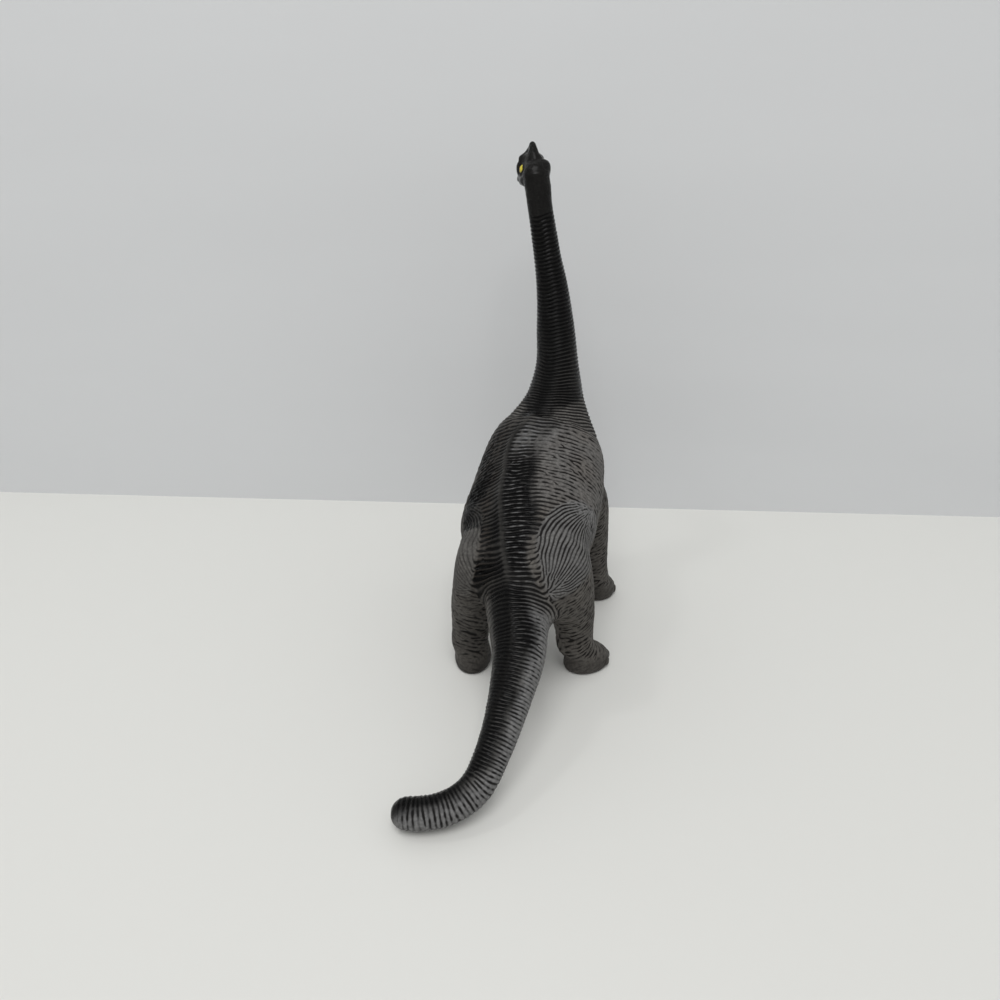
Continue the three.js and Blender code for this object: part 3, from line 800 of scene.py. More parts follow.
around = unit(np.cross(tangent, normals))
ahead = unit(tangent - (tangent * normals).sum(1, keepdims=True) * normals)
right_share = smooth_step(*RIGHT_SIDE, side)
on_back = smooth_step(*BACK_START, length) * smooth_step(*BACK_STOP, length) * (1 - leg_share)
on_tail = smooth_step(*TAIL_STOP, length) * (1 - leg_share)
on_neck = smooth_step(NECK_SEAM - NECK_EARLY, NECK_SEAM + NECK_LATE, length) * (1 - leg_share)
shoulder_right = on_back * smooth_step(*SHOULDER_SIDE, side) * smooth_step(*SHOULDER_START, length)
flank_left = on_back * smooth_step(*FLANK_SIDE, side)
hip_right = hump(HIP_MIDDLE, HIP_REACH, length) * smooth_step(*HIP_SIDE, side) * (1 - leg_share)

slant = FLANK_SLANT * on_back * (1 - right_share) * np.tanh(-side / FLANK_SLANT_REACH)
slant += SHOULDER_SLANT * shoulder_right + HIP_SLANT * hip_right
slant += NECK_SLANT * on_neck * np.tanh(-side / NECK_SLANT_REACH)
slant_wander = SLANT_WANDER + LOOSE_WANDER * (shoulder_right + flank_left)
slant += slant_wander * soft_noise(points, SLANT_PATCH, seed=21)
slant = np.radians(slant)
trunk_lines = around * np.cos(slant)[:, None] - ahead * np.sin(slant)[:, None]

up = np.array([0.0, 0.0, 1.0])
level = unit(np.cross(up, normals))
rise = unit(up - normals[:, 2:] * normals)
tilt = np.radians(np.where(is_left, LEFT_LEG_TILT, RIGHT_LEG_TILT))
tilt += math.radians(LEG_WANDER) * soft_noise(points, LEG_PATCH, seed=22)
leg_lines = level * np.cos(tilt)[:, None] + rise * np.sin(tilt)[:, None]

first_way = around
second_way = unit(np.cross(normals, first_way))
blend = ((1 - leg_share) * line_angle(trunk_lines, first_way, second_way)
         + leg_share * line_angle(leg_lines, first_way, second_way))
# on the neck the wrinkles rise outwards
start_phase = 2 * math.pi * rib_count(length - NECK_RISE * on_neck * np.abs(side))
pitch = np.interp(length, *np.array(PITCHES).T) * (1 + PITCH_WANDER * soft_noise(points, PITCH_PATCH, seed=3))
pitch = pitch * (1 - leg_share) + LEG_PITCH * leg_share
pitch *= 1 - SHOULDER_CLOSER * shoulder_right
thigh_total = np.zeros(len(points))
for middle, reach, crotch, flank, bulge, flat_side in THIGHS:
    share = thigh_share(middle, reach, crotch)
    arc_angle = line_angle(arc_lines(crotch, flank, flat_side), first_way, second_way)
    blend = blend * (1 - share) + share * arc_angle
    gathered = np.minimum(
        np.linalg.norm(points - np.array(crotch), axis=1), np.linalg.norm(points - np.array(flank), axis=1))
    arc_pitch = ARC_PITCH - ARC_GATHERED * smooth_step(*ARC_GATHER_REACH, gathered)
    pitch = pitch * (1 - share) + share * arc_pitch
    arc_phase = 2 * math.pi * arc_height(crotch, flank, bulge, flat_side) / ARC_START_PITCH
    start_phase = np.where(share > 0.5, arc_phase, start_phase)
    thigh_total = np.maximum(thigh_total, share)
turn = np.angle(blend) / 2
lines = first_way * np.cos(turn)[:, None] + second_way * np.sin(turn)[:, None]
across = np.cross(normals, lines)


def rib_phase(across, pitch, start, passes):
    """The phase of evenly spaced ribs: each point agrees with its neighbours on where the crests lie."""
    first, second = edges.T
    total_points = len(points)
    step = points[second] - points[first]
    same = (across[first] * across[second]).sum(1) >= 0
    sign = np.where(same, 1.0, -1.0)
    rate = 2 * math.pi / pitch
    mean = (across[first] * rate[first, None] + across[second] * (sign * rate[second])[:, None]) / 2
    turn = np.exp(1j * (mean * step).sum(1))
    phase = start.copy()
    for _ in range(passes):
        to_first = np.where(same, phase[second], phase[second].conj()) * turn.conj()
        sent = phase[first] * turn
        to_second = np.where(same, sent, sent.conj())
        total = (np.bincount(first, to_first.real, total_points)
                 + np.bincount(second, to_second.real, total_points)
                 + 1j * np.bincount(first, to_first.imag, total_points)
                 + 1j * np.bincount(second, to_second.imag, total_points))
        count = np.abs(total)
        phase = RIB_KEPT_SHARE * phase + RIB_NEW_SHARE * total / np.maximum(count, LEAST_SUM)
        phase /= np.maximum(np.abs(phase), LEAST_SUM)
    return phase, count / np.bincount(edges.ravel(), minlength=total_points)


random = np.random.RandomState(MESS_SEED)
noise = random.normal(size=(len(points), 2))
noise = spread(edges, noise, MESS_PASSES)
noise = noise[:, 0] + 1j * noise[:, 1]
noise /= np.sqrt((np.abs(noise) ** 2).mean())
start_phase += START_WANDER * soft_noise(points, START_PATCH, seed=71)
start = np.exp(1j * start_phase)
start = np.where(rises(start_phase, across), start, start.conj())
mess = MESS + LOOSE_MESS * np.maximum(shoulder_right, flank_left) + LEG_MESS * leg_share * (1 - thigh_total)
mess += TAIL_MESS * on_tail
start = start + mess * noise
start /= np.abs(start)
phase, agreement = rib_phase(across, pitch, start, RIB_PASSES)


# How deep the wrinkles are

# The sizes of the patches in which the skin changes
PATCH = 11
FINE_PATCH = 3.5
SHORT_PATCH = 1.8
SHORT_WAVES = 24

# The feet, as heights over the floor
FOOT_HEIGHTS = (15, 8)

# The smooth strips along the back line and the tail, the black band beside them, the withers, the beaded
# line, the skull and the tail's tip: from where to where, over the skin from the back line or along the spine
STRIP_MIDDLE = 0.3
STRIP_REACH = 2.8
STRIP_WANDER = 0.5
TAIL_STRIP_REACH = 2.6
TAIL_STRIP_START = (15, 40)
BAND_INNER = (1.0, 3.0)
BAND_OUTER = (24, 14)
WITHERS_MIDDLE = 197
WITHERS_REACH = 22
WITHERS_INNER = (1, 4)
WITHERS_OUTER = (26, 16)
BEADS_SIDE = 14
BEADS_WIDTH = 6
BEADS_MIDDLE = 150
BEADS_REACH = 45
SKULL_START = -6
SKULL_END = 5
SKULL_WANDER = 2
TIP_START = (-6, 3)

# The depth of the wrinkles, and how much it changes by patches
DEPTH = 0.42
PATCH_DEPTH = 0.07
FINE_PATCH_DEPTH = 0.08

# Where the wrinkles break up into dashes: how deep these are, how much they differ, the deepest, and how much
# the loose skin of the tail, all loose skin and the beaded line break up
DASH_SHARE = 0.8
DASH_CHANGE_SHARE = 0.75
DASH_MOST_SHARE = 1.4
TAIL_LOOSE_SHARE = 0.7
LOOSE_SHARE = 0.75
BEADS_SHARE = 0.8

# How much deeper or shallower the wrinkles are in each place, and how well neighbours have to agree on them
BAND_DEPTH_SHARE = 0.35
NECK_DEPTH_SHARE = 0.3
TAIL_DEPTH_SHARE = -0.25
TAIL_DEPTH_START = (30, 70)
SHOULDER_DEPTH_SHARE = -0.3
WITHERS_DEPTH_SHARE = -0.6
FLANK_CHANGE_SHARE = 0.35
LEFT_THIGH_DEPTH_SHARE = -0.4
LEG_DEPTH_SHARE = -0.3
FOOT_DEPTH_SHARE = -0.6
TAIL_SIDE = (10, 20)
TAIL_SIDE_DEPTH_SHARE = -0.4
STRIP_DEPTH_SHARE = -0.75
AGREEMENT = (0.25, 0.8)

# The form of a wrinkle: a power that narrows its crest, the depth that counts as a full groove, and how much
# of it lies over the plain skin
CREST_POWER = 0.7
BAND_CREST_POWER = 0.5
FLANK_CREST_POWER = 0.3
FULL_GROOVE = 0.36
GROOVE_MOST_SHARE = 1.2
CREST_SHARE = 0.6

# Small lumps between the wrinkles, which keep off the soles
LUMP_SIZE = 1.3
LUMP_HEIGHT = 0.045
BAND_LUMP_LOSS = 0.03
LUMP_HEIGHTS = (0.5, 2.0)

foot = smooth_step(*FOOT_HEIGHTS, points[:, 2]) * leg_share
patches = soft_noise(points, PATCH, seed=31)
fine_patches = soft_noise(points, FINE_PATCH, seed=32)
short_patches = soft_noise(points, SHORT_PATCH, seed=33, waves=SHORT_WAVES)
strip = on_back * hump(STRIP_MIDDLE, STRIP_REACH + STRIP_WANDER * fine_patches, side)
tail_strip = on_tail * hump(0, TAIL_STRIP_REACH, side) * smooth_step(*TAIL_STRIP_START, length)
band = on_back * smooth_step(*BAND_INNER, side) * smooth_step(*BAND_OUTER, side)
withers = hump(WITHERS_MIDDLE, WITHERS_REACH, length) * smooth_step(*WITHERS_INNER, side)
withers *= smooth_step(*WITHERS_OUTER, side)
withers *= 1 - leg_share
beads = hump(BEADS_SIDE, BEADS_WIDTH, side) * hump(BEADS_MIDDLE, BEADS_REACH, length) * on_back
loose = shoulder_right + flank_left + withers + TAIL_LOOSE_SHARE * on_tail + leg_share * (1 - thigh_total)
loose = np.clip(loose, 0, 1)
skull = smooth_step(HEAD_SEAM + SKULL_START, HEAD_SEAM + SKULL_END, length + SKULL_WANDER * patches)

depth = DEPTH + PATCH_DEPTH * patches + FINE_PATCH_DEPTH * fine_patches
dashes = np.clip(DASH_SHARE + DASH_CHANGE_SHARE * short_patches, 0, DASH_MOST_SHARE)
depth *= 1 + np.clip(LOOSE_SHARE * loose + BEADS_SHARE * beads, 0, 1) * (dashes - 1)
tail_depth = TAIL_DEPTH_SHARE * on_tail * smooth_step(*TAIL_DEPTH_START, length)
depth *= 1 + BAND_DEPTH_SHARE * band + NECK_DEPTH_SHARE * on_neck + tail_depth
depth *= 1 + SHOULDER_DEPTH_SHARE * shoulder_right + WITHERS_DEPTH_SHARE * withers
depth *= 1 + flank_left * FLANK_CHANGE_SHARE * patches
depth *= 1 + LEFT_THIGH_DEPTH_SHARE * thigh_total * is_left
depth *= 1 + LEG_DEPTH_SHARE * leg_share
depth *= 1 + FOOT_DEPTH_SHARE * foot
depth *= 1 + TAIL_SIDE_DEPTH_SHARE * on_tail * smooth_step(*TAIL_SIDE, side)
depth *= 1 + STRIP_DEPTH_SHARE * np.maximum(strip, tail_strip)
depth *= (1 - skull) * (1 - nail) * smooth_step(*TIP_START, length)
depth *= smooth_step(*AGREEMENT, agreement)
depth = np.maximum(depth, 0)

crest = ((1 + phase.real) / 2) ** (CREST_POWER + BAND_CREST_POWER * band + FLANK_CREST_POWER * flank_left)
groove = (1 - crest) * np.clip(depth / FULL_GROOVE, 0, GROOVE_MOST_SHARE)
lift = depth * (crest - CREST_SHARE)
lumps = (LUMP_HEIGHT - BAND_LUMP_LOSS * band) * soft_noise(points, LUMP_SIZE, seed=41, waves=SHORT_WAVES)
lift += lumps * smooth_step(*LUMP_HEIGHTS, points[:, 2])
points = points + normals * lift[:, None]
points[:, 2] = np.maximum(points[:, 2], 0)
final_normals = point_normals(points, triangles)


# The paint

# How the edges of the paint wander
EDGE_WANDER = 2.5
EDGE_PATCH = 12
FINE_EDGE_WANDER = 1.2
FINE_EDGE_PATCH = 4
EDGE_SHARE = 0.6

# The black along the back, from the back line to the right and to the left
BACK_PAINT_RIGHT = (21, 13)
BACK_PAINT_INNER = (-3.5, 0.5)
BACK_PAINT_LEFT = (-34, -22)
BACK_PAINT_LEFT_INNER = (1, -1)
LEFT_PAINT_SHARE = 0.8
LEFT_PATCH_SHARE = 0.3
WITHERS_BARE_SHARE = 0.7
STRIP_BARE_SHARE = 0.2

# The black along the tail: how far it reaches to the right, how much more at the root and at the tip, how
# soft its edge is, where it ends on the left and where it runs out on the back
TAIL_PAINT_REACH = 3.0
TAIL_PAINT_GAIN = 4.0
TAIL_PAINT_ROOT = (60, 110)
TAIL_PAINT_TIP = (30, 5)
TAIL_PAINT_BLUR = 7
TAIL_PAINT_LEFT = (-16, -8)
TAIL_PAINT_STOP = (128, 108)

# The black of the neck: how far it reaches from the back line, how much more it gets on the way up, and how
# far its edge fades outwards and inwards
NECK_PAINT_REACH = 6
NECK_PAINT_GAIN = 26
NECK_PAINT_RISE = (225, 255)
NECK_PAINT_OUTER = 5
NECK_PAINT_INNER = 1
NECK_WITHERS_BARE_SHARE = 0.5

# The thin paint of the legs, and how much darker they get towards the soles
LEG_PAINT_SHARE = 0.08
LEFT_LEG_PAINT_SHARE = 0.25
SOLE_DARKENING_SHARE = 0.35
SOLE_DARKENING_HEIGHTS = (12, 3)
FORELEG_PAINT_SHARE = 0.15
THIGH_BARE_SHARE = 0.7
LEG_PATCH_SHARE = 0.4
LEFT_THIGH_PAINT_SHARE = 0.22

# Where the crests lose their black: bare from wear, and most at the painted highlights, short light lines on
# the crests beside the back line and along the top of the tail
RUBBED_SHARE = 0.08
FLANK_RUBBED_SHARE = 0.15
NECK_RUBBED_SHARE = 0.25
NECK_RUBBED_SIDE = (1, 6)
NECK_RUBBED_STOP = (290, 235)
TAIL_HIGHLIGHT_SHARE = 0.45
TAIL_HIGHLIGHT_SIDE = (0.5, 2.5)
TAIL_HIGHLIGHT_START = (20, 45)
HIGHLIGHT_SIDE = (15, 9)
HIGHLIGHT_SHARE = 0.5
HIGHLIGHT_CHANGE_SHARE = 0.6
HIGHLIGHT_RUBBED_SHARE = 0.75
STRIP_KEPT_SHARE = 0.6
CREST_GROOVE = (0.30, 0.02)

# The brown and the paler tones of the vinyl, and how much the painted highlights lighten the crests
FLANK_WARM_SHARE = 0.8
SIDE_WARM_SHARE = 0.5
WARM_SIDE = (14, 22)
WARM_SHARE = 0.7
WARM_PATCH_SHARE = 0.4
WARM_PATCH = 8
LEG_WARM_SHARE = 0.25
PALE_SIDE = (4, 11)
THIGH_PALE_SHARE = 0.55
PALE_SHARE = 0.8
BACK_PALE_SHARE = 0.3
HIGHLIGHT_PALE_SHARE = 0.8

edge = EDGE_WANDER * soft_noise(points, EDGE_PATCH, seed=51)
edge += FINE_EDGE_WANDER * soft_noise(points, FINE_EDGE_PATCH, seed=52)
band_right = smooth_step(*BACK_PAINT_RIGHT, side + edge) * smooth_step(*BACK_PAINT_INNER, side)
band_left = smooth_step(*BACK_PAINT_LEFT, side + edge) * smooth_step(*BACK_PAINT_LEFT_INNER, side)
band_left *= LEFT_PAINT_SHARE + LEFT_PATCH_SHARE * patches
paint = on_back * np.maximum(band_right, band_left)
paint *= (1 - WITHERS_BARE_SHARE * withers) * (1 - STRIP_BARE_SHARE * strip)

more = smooth_step(*TAIL_PAINT_ROOT, length) + smooth_step(*TAIL_PAINT_TIP, length)
reach = TAIL_PAINT_REACH + TAIL_PAINT_GAIN * more
tail_paint = smooth_step(reach + TAIL_PAINT_BLUR, reach, side + EDGE_SHARE * edge)
tail_paint *= smooth_step(*TAIL_PAINT_LEFT, side)
tail_cover = smooth_step(*TAIL_PAINT_STOP, length) * (1 - leg_share)
paint = np.maximum(paint, tail_cover * tail_paint)

reach = NECK_PAINT_REACH + NECK_PAINT_GAIN * smooth_step(*NECK_PAINT_RISE, length)
neck_paint = smooth_step(
    reach + NECK_PAINT_OUTER, reach - NECK_PAINT_INNER, np.abs(side) + EDGE_SHARE * edge)
paint = np.maximum(paint, on_neck * neck_paint * (1 - NECK_WITHERS_BARE_SHARE * withers))
paint = np.maximum(paint, skull)

leg_darkening = LEG_PAINT_SHARE + LEFT_LEG_PAINT_SHARE * is_left
# darker towards the soles
leg_darkening += SOLE_DARKENING_SHARE * smooth_step(*SOLE_DARKENING_HEIGHTS, points[:, 2])
leg_darkening += FORELEG_PAINT_SHARE * (points[:, 1] > HIND_END)
leg_darkening *= leg_share * (1 - THIGH_BARE_SHARE * thigh_total) * (1 + LEG_PATCH_SHARE * patches)
paint = np.maximum(paint, np.maximum(leg_darkening, LEFT_THIGH_PAINT_SHARE * thigh_total * is_left))

neck_rubbed = on_neck * smooth_step(*NECK_RUBBED_SIDE, np.abs(side)) * smooth_step(*NECK_RUBBED_STOP, length)
rubbed_and_highlit = RUBBED_SHARE + FLANK_RUBBED_SHARE * flank_left + NECK_RUBBED_SHARE * neck_rubbed
# painted highlights: short light lines on the crests of the black band and along the top of the tail, where
# the black comes off and the vinyl turns lighter
tail_highlight = tail_cover * smooth_step(*TAIL_HIGHLIGHT_SIDE, side) * smooth_step(*TAIL_HIGHLIGHT_START, length)
painted_highlight = np.maximum(band, TAIL_HIGHLIGHT_SHARE * tail_highlight)
painted_highlight *= smooth_step(*HIGHLIGHT_SIDE, side) * np.clip(HIGHLIGHT_SHARE + HIGHLIGHT_CHANGE_SHARE * short_patches, 0, 1)
rubbed_and_highlit += HIGHLIGHT_RUBBED_SHARE * painted_highlight
rubbed_and_highlit *= 1 - STRIP_KEPT_SHARE * strip
# the black comes off the crests where they are bare from wear and at the painted highlights
paint = np.clip(paint * (1 - rubbed_and_highlit * smooth_step(*CREST_GROOVE, groove)), 0, 1)

warm = on_back * (FLANK_WARM_SHARE * flank_left + SIDE_WARM_SHARE * smooth_step(*WARM_SIDE, side))
warm *= WARM_SHARE + WARM_PATCH_SHARE * soft_noise(points, WARM_PATCH, seed=61)
warm += leg_share * LEG_WARM_SHARE
warm = np.clip(warm * (1 - thigh_total), 0, 1)
pale_and_highlight = np.maximum(on_tail * smooth_step(*PALE_SIDE, side), THIGH_PALE_SHARE * thigh_total * ~is_left)
# the painted highlights lighten the crests too
pale_and_highlight = PALE_SHARE * pale_and_highlight + BACK_PALE_SHARE * (withers + shoulder_right) + HIGHLIGHT_PALE_SHARE * painted_highlight
pale_and_highlight = np.clip(pale_and_highlight, 0, 1)


# The skin is parted again at the seams of the mouldings

# The columns of a row of the skin
PLACE = slice(0, 3)
ACROSS_COLUMN, FORWARD_COLUMN = 0, 1
NORMAL = slice(3, 6)
LAYERS = ("groove", "paint", "warm", "pale_and_highlight")
LAYER_COLUMN = 6
LEG_COLUMN, LENGTH_COLUMN, RIGHT_COLUMN = 10, 11, 12

# The height over the trunk at which a leg is parted from it, and what counts as lying on a seam
LEG_SEAM = 1.0
ON_SEAM = 0.05


def closed(rows, triangles, on_seam):
    """Closes each open loop on a seam with a fan of faces to its middle, and drops rows without a face."""
    ends = np.concatenate([triangles[:, [0, 1]], triangles[:, [1, 2]], triangles[:, [2, 0]]])
    ends = ends[on_seam[ends].all(1)]
    there = ends[:, 0] * len(rows) + ends[:, 1]
    back_again = ends[:, 1] * len(rows) + ends[:, 0]
    ends = ends[~np.isin(there, back_again)]
    group = {point: point for point in ends.ravel().tolist()}

    def leader(point):
        while group[point] != point:
            group[point] = group[group[point]]
            point = group[point]
        return point

    for first, second in ends.tolist():
        group[leader(first)] = leader(second)
    leaders = np.array([leader(point) for point in ends[:, 0].tolist()])
    for loop in np.unique(leaders):
        around_loop = ends[leaders == loop]
        middle = np.full(len(around_loop), len(rows))
        rows = np.vstack([rows, rows[around_loop[:, 0]].mean(0)])
        fan = np.stack([around_loop[:, 1], around_loop[:, 0], middle], axis=1)
        triangles = np.vstack([triangles, fan])
    used, triangles = np.unique(triangles, return_inverse=True)
    return rows[used], triangles.reshape(-1, 3)


def parted(skin, values):
    """Cuts a closed skin where the values are zero; gives the closed parts below and above."""
    rows, triangles = skin
    values = np.where(np.abs(values) < ON_SEAM, 0, values)
    signs = np.sign(values)[triangles]
    crossed = (signs.min(1) < 0) & (signs.max(1) > 0)
    whole, whole_above = triangles[~crossed], signs[~crossed].sum(1) > 0
    cut, signs = triangles[crossed], signs[crossed]
    # each is turned so that its corner on the seam, or else the one alone on its side, comes first
    total = signs.sum(1, keepdims=True)
    alone = np.where(total == 0, signs == 0, signs == -total)
    order = (alone.argmax(1)[:, None] + np.arange(3)) % 3
    cut = np.take_along_axis(cut, order, axis=1)
    signs = np.take_along_axis(signs, order, axis=1)
    touching = total[:, 0] == 0
    a, b, c = cut[touching].T
    lone, second, third = cut[~touching].T
    ends = np.concatenate([np.stack([b, c], 1), np.stack([lone, second], 1), np.stack([lone, third], 1)])
    ends.sort(axis=1)
    _, place, shared = np.unique(ends[:, 0] * len(rows) + ends[:, 1], return_index=True, return_inverse=True)
    low, high = ends[place].T
    share = (values[low] / (values[low] - values[high]))[:, None]
    on_seam = np.concatenate([values == 0, np.ones(len(place), bool)])
    shared = len(rows) + shared.ravel()
    rows = np.vstack([rows, rows[low] + share * (rows[high] - rows[low])])
    middle = shared[:len(a)]
    near, far = shared[len(a):len(a) + len(lone)], shared[len(a) + len(lone):]
    faces = np.concatenate([
        whole,
        np.stack([a, b, middle], 1),
        np.stack([a, middle, c], 1),
        np.stack([lone, near, far], 1),
        np.stack([near, second, third], 1),
        np.stack([near, third, far], 1)])
    above = np.concatenate([
        whole_above,
        signs[touching, 1] > 0,
        signs[touching, 2] > 0,
        signs[~touching, 0] > 0,
        signs[~touching, 1] > 0,
        signs[~touching, 1] > 0])
    return closed(rows, faces[~above], on_seam), closed(rows, faces[above], on_seam)


def parted_at(skin, column, seam):
    """Parts a closed skin where one column of its rows passes the seam's value."""
    return parted(skin, skin[0][:, column] - seam)


def skin_parts():
    rows = np.column_stack([points, final_normals, groove, paint, warm, pale_and_highlight, leg_height, length, right])
    trunk, legs = parted_at((rows, triangles), LEG_COLUMN, LEG_SEAM)
    hind, fore = parted_at(legs, FORWARD_COLUMN, HIND_END)
    tail, rest = parted_at(trunk, LENGTH_COLUMN, TAIL_SEAM)
    torso, rest = parted_at(rest, LENGTH_COLUMN, NECK_SEAM)
    neck, head = parted_at(rest, LENGTH_COLUMN, HEAD_SEAM)
    parts = {"tail": tail, "neck": neck, "head": head}
    parts["torso_left_shell"], parts["torso_right_shell"] = parted_at(torso, RIGHT_COLUMN, 0)
    parts["hindleg_left"], parts["hindleg_right"] = parted_at(hind, ACROSS_COLUMN, LEFT_END)
    parts["foreleg_left"], parts["foreleg_right"] = parted_at(fore, ACROSS_COLUMN, LEFT_END)
    return parts


def skin_piece(name, rows, triangles):
    mesh = bpy.data.meshes.new(name + "_skin")
    mesh.vertices.add(len(rows))
    mesh.vertices.foreach_set("co", (rows[:, PLACE] * MM).ravel())
    mesh.loops.add(len(triangles) * 3)
    mesh.loops.foreach_set("vertex_index", triangles.ravel().astype(np.int32))
    mesh.polygons.add(len(triangles))
    mesh.polygons.foreach_set("loop_start", np.arange(0, len(triangles) * 3, 3, dtype=np.int32))
    mesh.update(calc_edges=True)
    mesh.validate()
    mesh.shade_smooth()
    for column, layer_name in enumerate(LAYERS, LAYER_COLUMN):
        layer = mesh.attributes.new(layer_name, "FLOAT", "POINT")
        layer.data.foreach_set("value", rows[:, column].astype(np.float32))
    # the skin runs on over the seams
    mesh.normals_split_custom_set_from_vertices(unit(rows[:, NORMAL]))
    piece = bpy.data.objects.new(name + "_skin", mesh)
    bpy.context.scene.collection.objects.link(piece)
    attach(piece, "root")
    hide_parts(name)
    return piece


skin_pieces = [skin_piece(name, *part) for name, part in skin_parts().items()]


def eye_piece(name, hand):
    """A bead with a bulging cornea, which looks out and a little forward."""
    x, y, z = EYE_PLACE
    place = head_points((-hand * x, y, z))[0]
    ahead = math.radians(EYE_FORWARD)
    way = head_points((hand * math.cos(ahead), math.sin(ahead), 0))[0] - np.array(HEAD_PLACE)
    turn = Vector((0, 0, 1)).rotation_difference(Vector(way))
    bpy.ops.object.select_all(action="DESELECT")
    bpy.ops.mesh.primitive_uv_sphere_add(
        segments=EYE_SEGMENTS, ring_count=EYE_RINGS, radius=EYE_RADIUS * MM)
    eye = bpy.context.active_object
    eye.name = name + "_bead"
    points = mesh_points(eye.data)
    away = np.arccos(np.clip(points[:, 2] / EYE_RADIUS, -1, 1))
    points *= (1 + EYE_BULGE / EYE_RADIUS * hump(0, math.radians(CORNEA_ANGLE), away))[:, None]
    set_points(eye.data, points)
    layer = eye.data.attributes.new("from_pupil", "FLOAT", "POINT")
    layer.data.foreach_set("value", np.degrees(away).astype(np.float32))
    eye.rotation_mode = "QUATERNION"
    eye.rotation_quaternion = turn
    eye.location = place * MM
    only(eye)
    bpy.ops.object.transform_apply(location=True, rotation=True, scale=True)
    bpy.ops.object.shade_smooth()
    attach(eye, "root")
    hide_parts(name)
    return eye


eyes = [eye_piece("eye_left", -1), eye_piece("eye_right", 1)]


# Materials

# The vinyl's tones, the paler one also giving the painted highlights on the crests, the black in its grooves,
# and the black paint
VINYL = (0.125, 0.120, 0.112, 1)
DARK_VINYL = (0.088, 0.084, 0.079, 1)
WARM_VINYL = (0.085, 0.069, 0.055, 1)
PALE_AND_HIGHLIGHT_VINYL = (0.175, 0.175, 0.176, 1)
GROOVE_BLACK = (0.0050, 0.0044, 0.0040, 1)
PAINT_BLACK = (0.0015, 0.0015, 0.0016, 1)

# How fine the vinyl's mottling, speckle, grain and pores are, in hills per metre
MOTTLE_SCALE = 120
SPECKLE_SCALE = 900
GRAIN_SCALE = 500
PORE_SCALE = 2600
FINE_DETAIL = 4
PLAIN_DETAIL = 2

# How a noise or a layer is turned into a share or a tone: from a range, to a range
MOTTLE_RANGE = (0.35, 0.65, 0, 1)
SPECKLE_RANGE = (0.4, 0.6, 0.80, 1.14)
GROOVE_DARKENING_RANGE = (0.15, 0.70, 0, 0.95)
ROUGH_RANGE = (0, 1, 0.60, 0.20)
GRAIN_RANGE = (0.3, 0.7, -0.04, 0.06)

# The depth of the pores in metres and how strongly they show, and how the vinyl reflects
PORE_DEPTH = 0.00005
PORE_STRENGTH = 0.35
VINYL_IOR = 1.48
VINYL_SPECULAR = 0.08

# The eyes' yellows, their rim and the pupil, how fine the flecks are, how much the rim darkens, the depth of
# the ripples in metres and how strongly they show, and how the eyes reflect
YELLOW = (0.70, 0.60, 0.045, 1)
DEEP_YELLOW = (0.52, 0.43, 0.030, 1)
RIM_BROWN = (0.42, 0.22, 0.015, 1)
PUPIL_BLACK = (0.004, 0.004, 0.004, 1)
FLECK_SCALE = 1500
RIM_SHARE = 0.6
RIPPLE_DEPTH = 0.00004
RIPPLE_STRENGTH = 0.3
EYE_ROUGHNESS = 0.12
EYE_IOR = 1.5


class Finish:
    """A material and short ways to add nodes to it."""

    def __init__(self, name):
        self.material = bpy.data.materials.new(name)
        self.material.use_nodes = True
        self.tree = self.material.node_tree
        self.shader = self.tree.nodes["Principled BSDF"]

    def add(self, kind, inputs=None, **settings):
        node = self.tree.nodes.new("ShaderNode" + kind)
        for name, value in settings.items():
            setattr(node, name, value)
        for name, value in (inputs or {}).items():
            self.put(value, node.inputs[name])
        return node

    def put(self, value, socket):
        if isinstance(value, bpy.types.NodeSocket):
            self.tree.links.new(value, socket)
        else:
            socket.default_value = value

    def layer(self, name):
        return self.add("Attribute", attribute_name=name).outputs["Fac"]

    def math(self, kind, first, second):
        return self.add("Math", {0: first, 1: second}, operation=kind).outputs[0]

    def mix(self, share, first, second, kind="MIX"):
        return self.add("Mix", {0: share, 6: first, 7: second}, data_type="RGBA", blend_type=kind).outputs[2]

    def grey(self, value):
        return self.add("CombineColor", {0: value, 1: value, 2: value}).outputs[0]

    def noise(self, scale, detail=3.0):
        """Noise on the piece's own place, about 0 to 1."""
        place = self.add("TexCoord").outputs["Object"]
        return self.add("TexNoise", {"Vector": place, "Scale": scale, "Detail": detail}).outputs[0]

    def range(self, value, low, high, to_low, to_high):
        node = self.add("MapRange", {"Value": value, "From Min": low, "From Max": high,
                                     "To Min": to_low, "To Max": to_high})
        return node.outputs[0]

    def bump(self, height, depth, strength):
        node = self.add("Bump", {"Height": height, "Distance": depth, "Strength": strength})
        self.put(node.outputs[0], self.shader.inputs["Normal"])


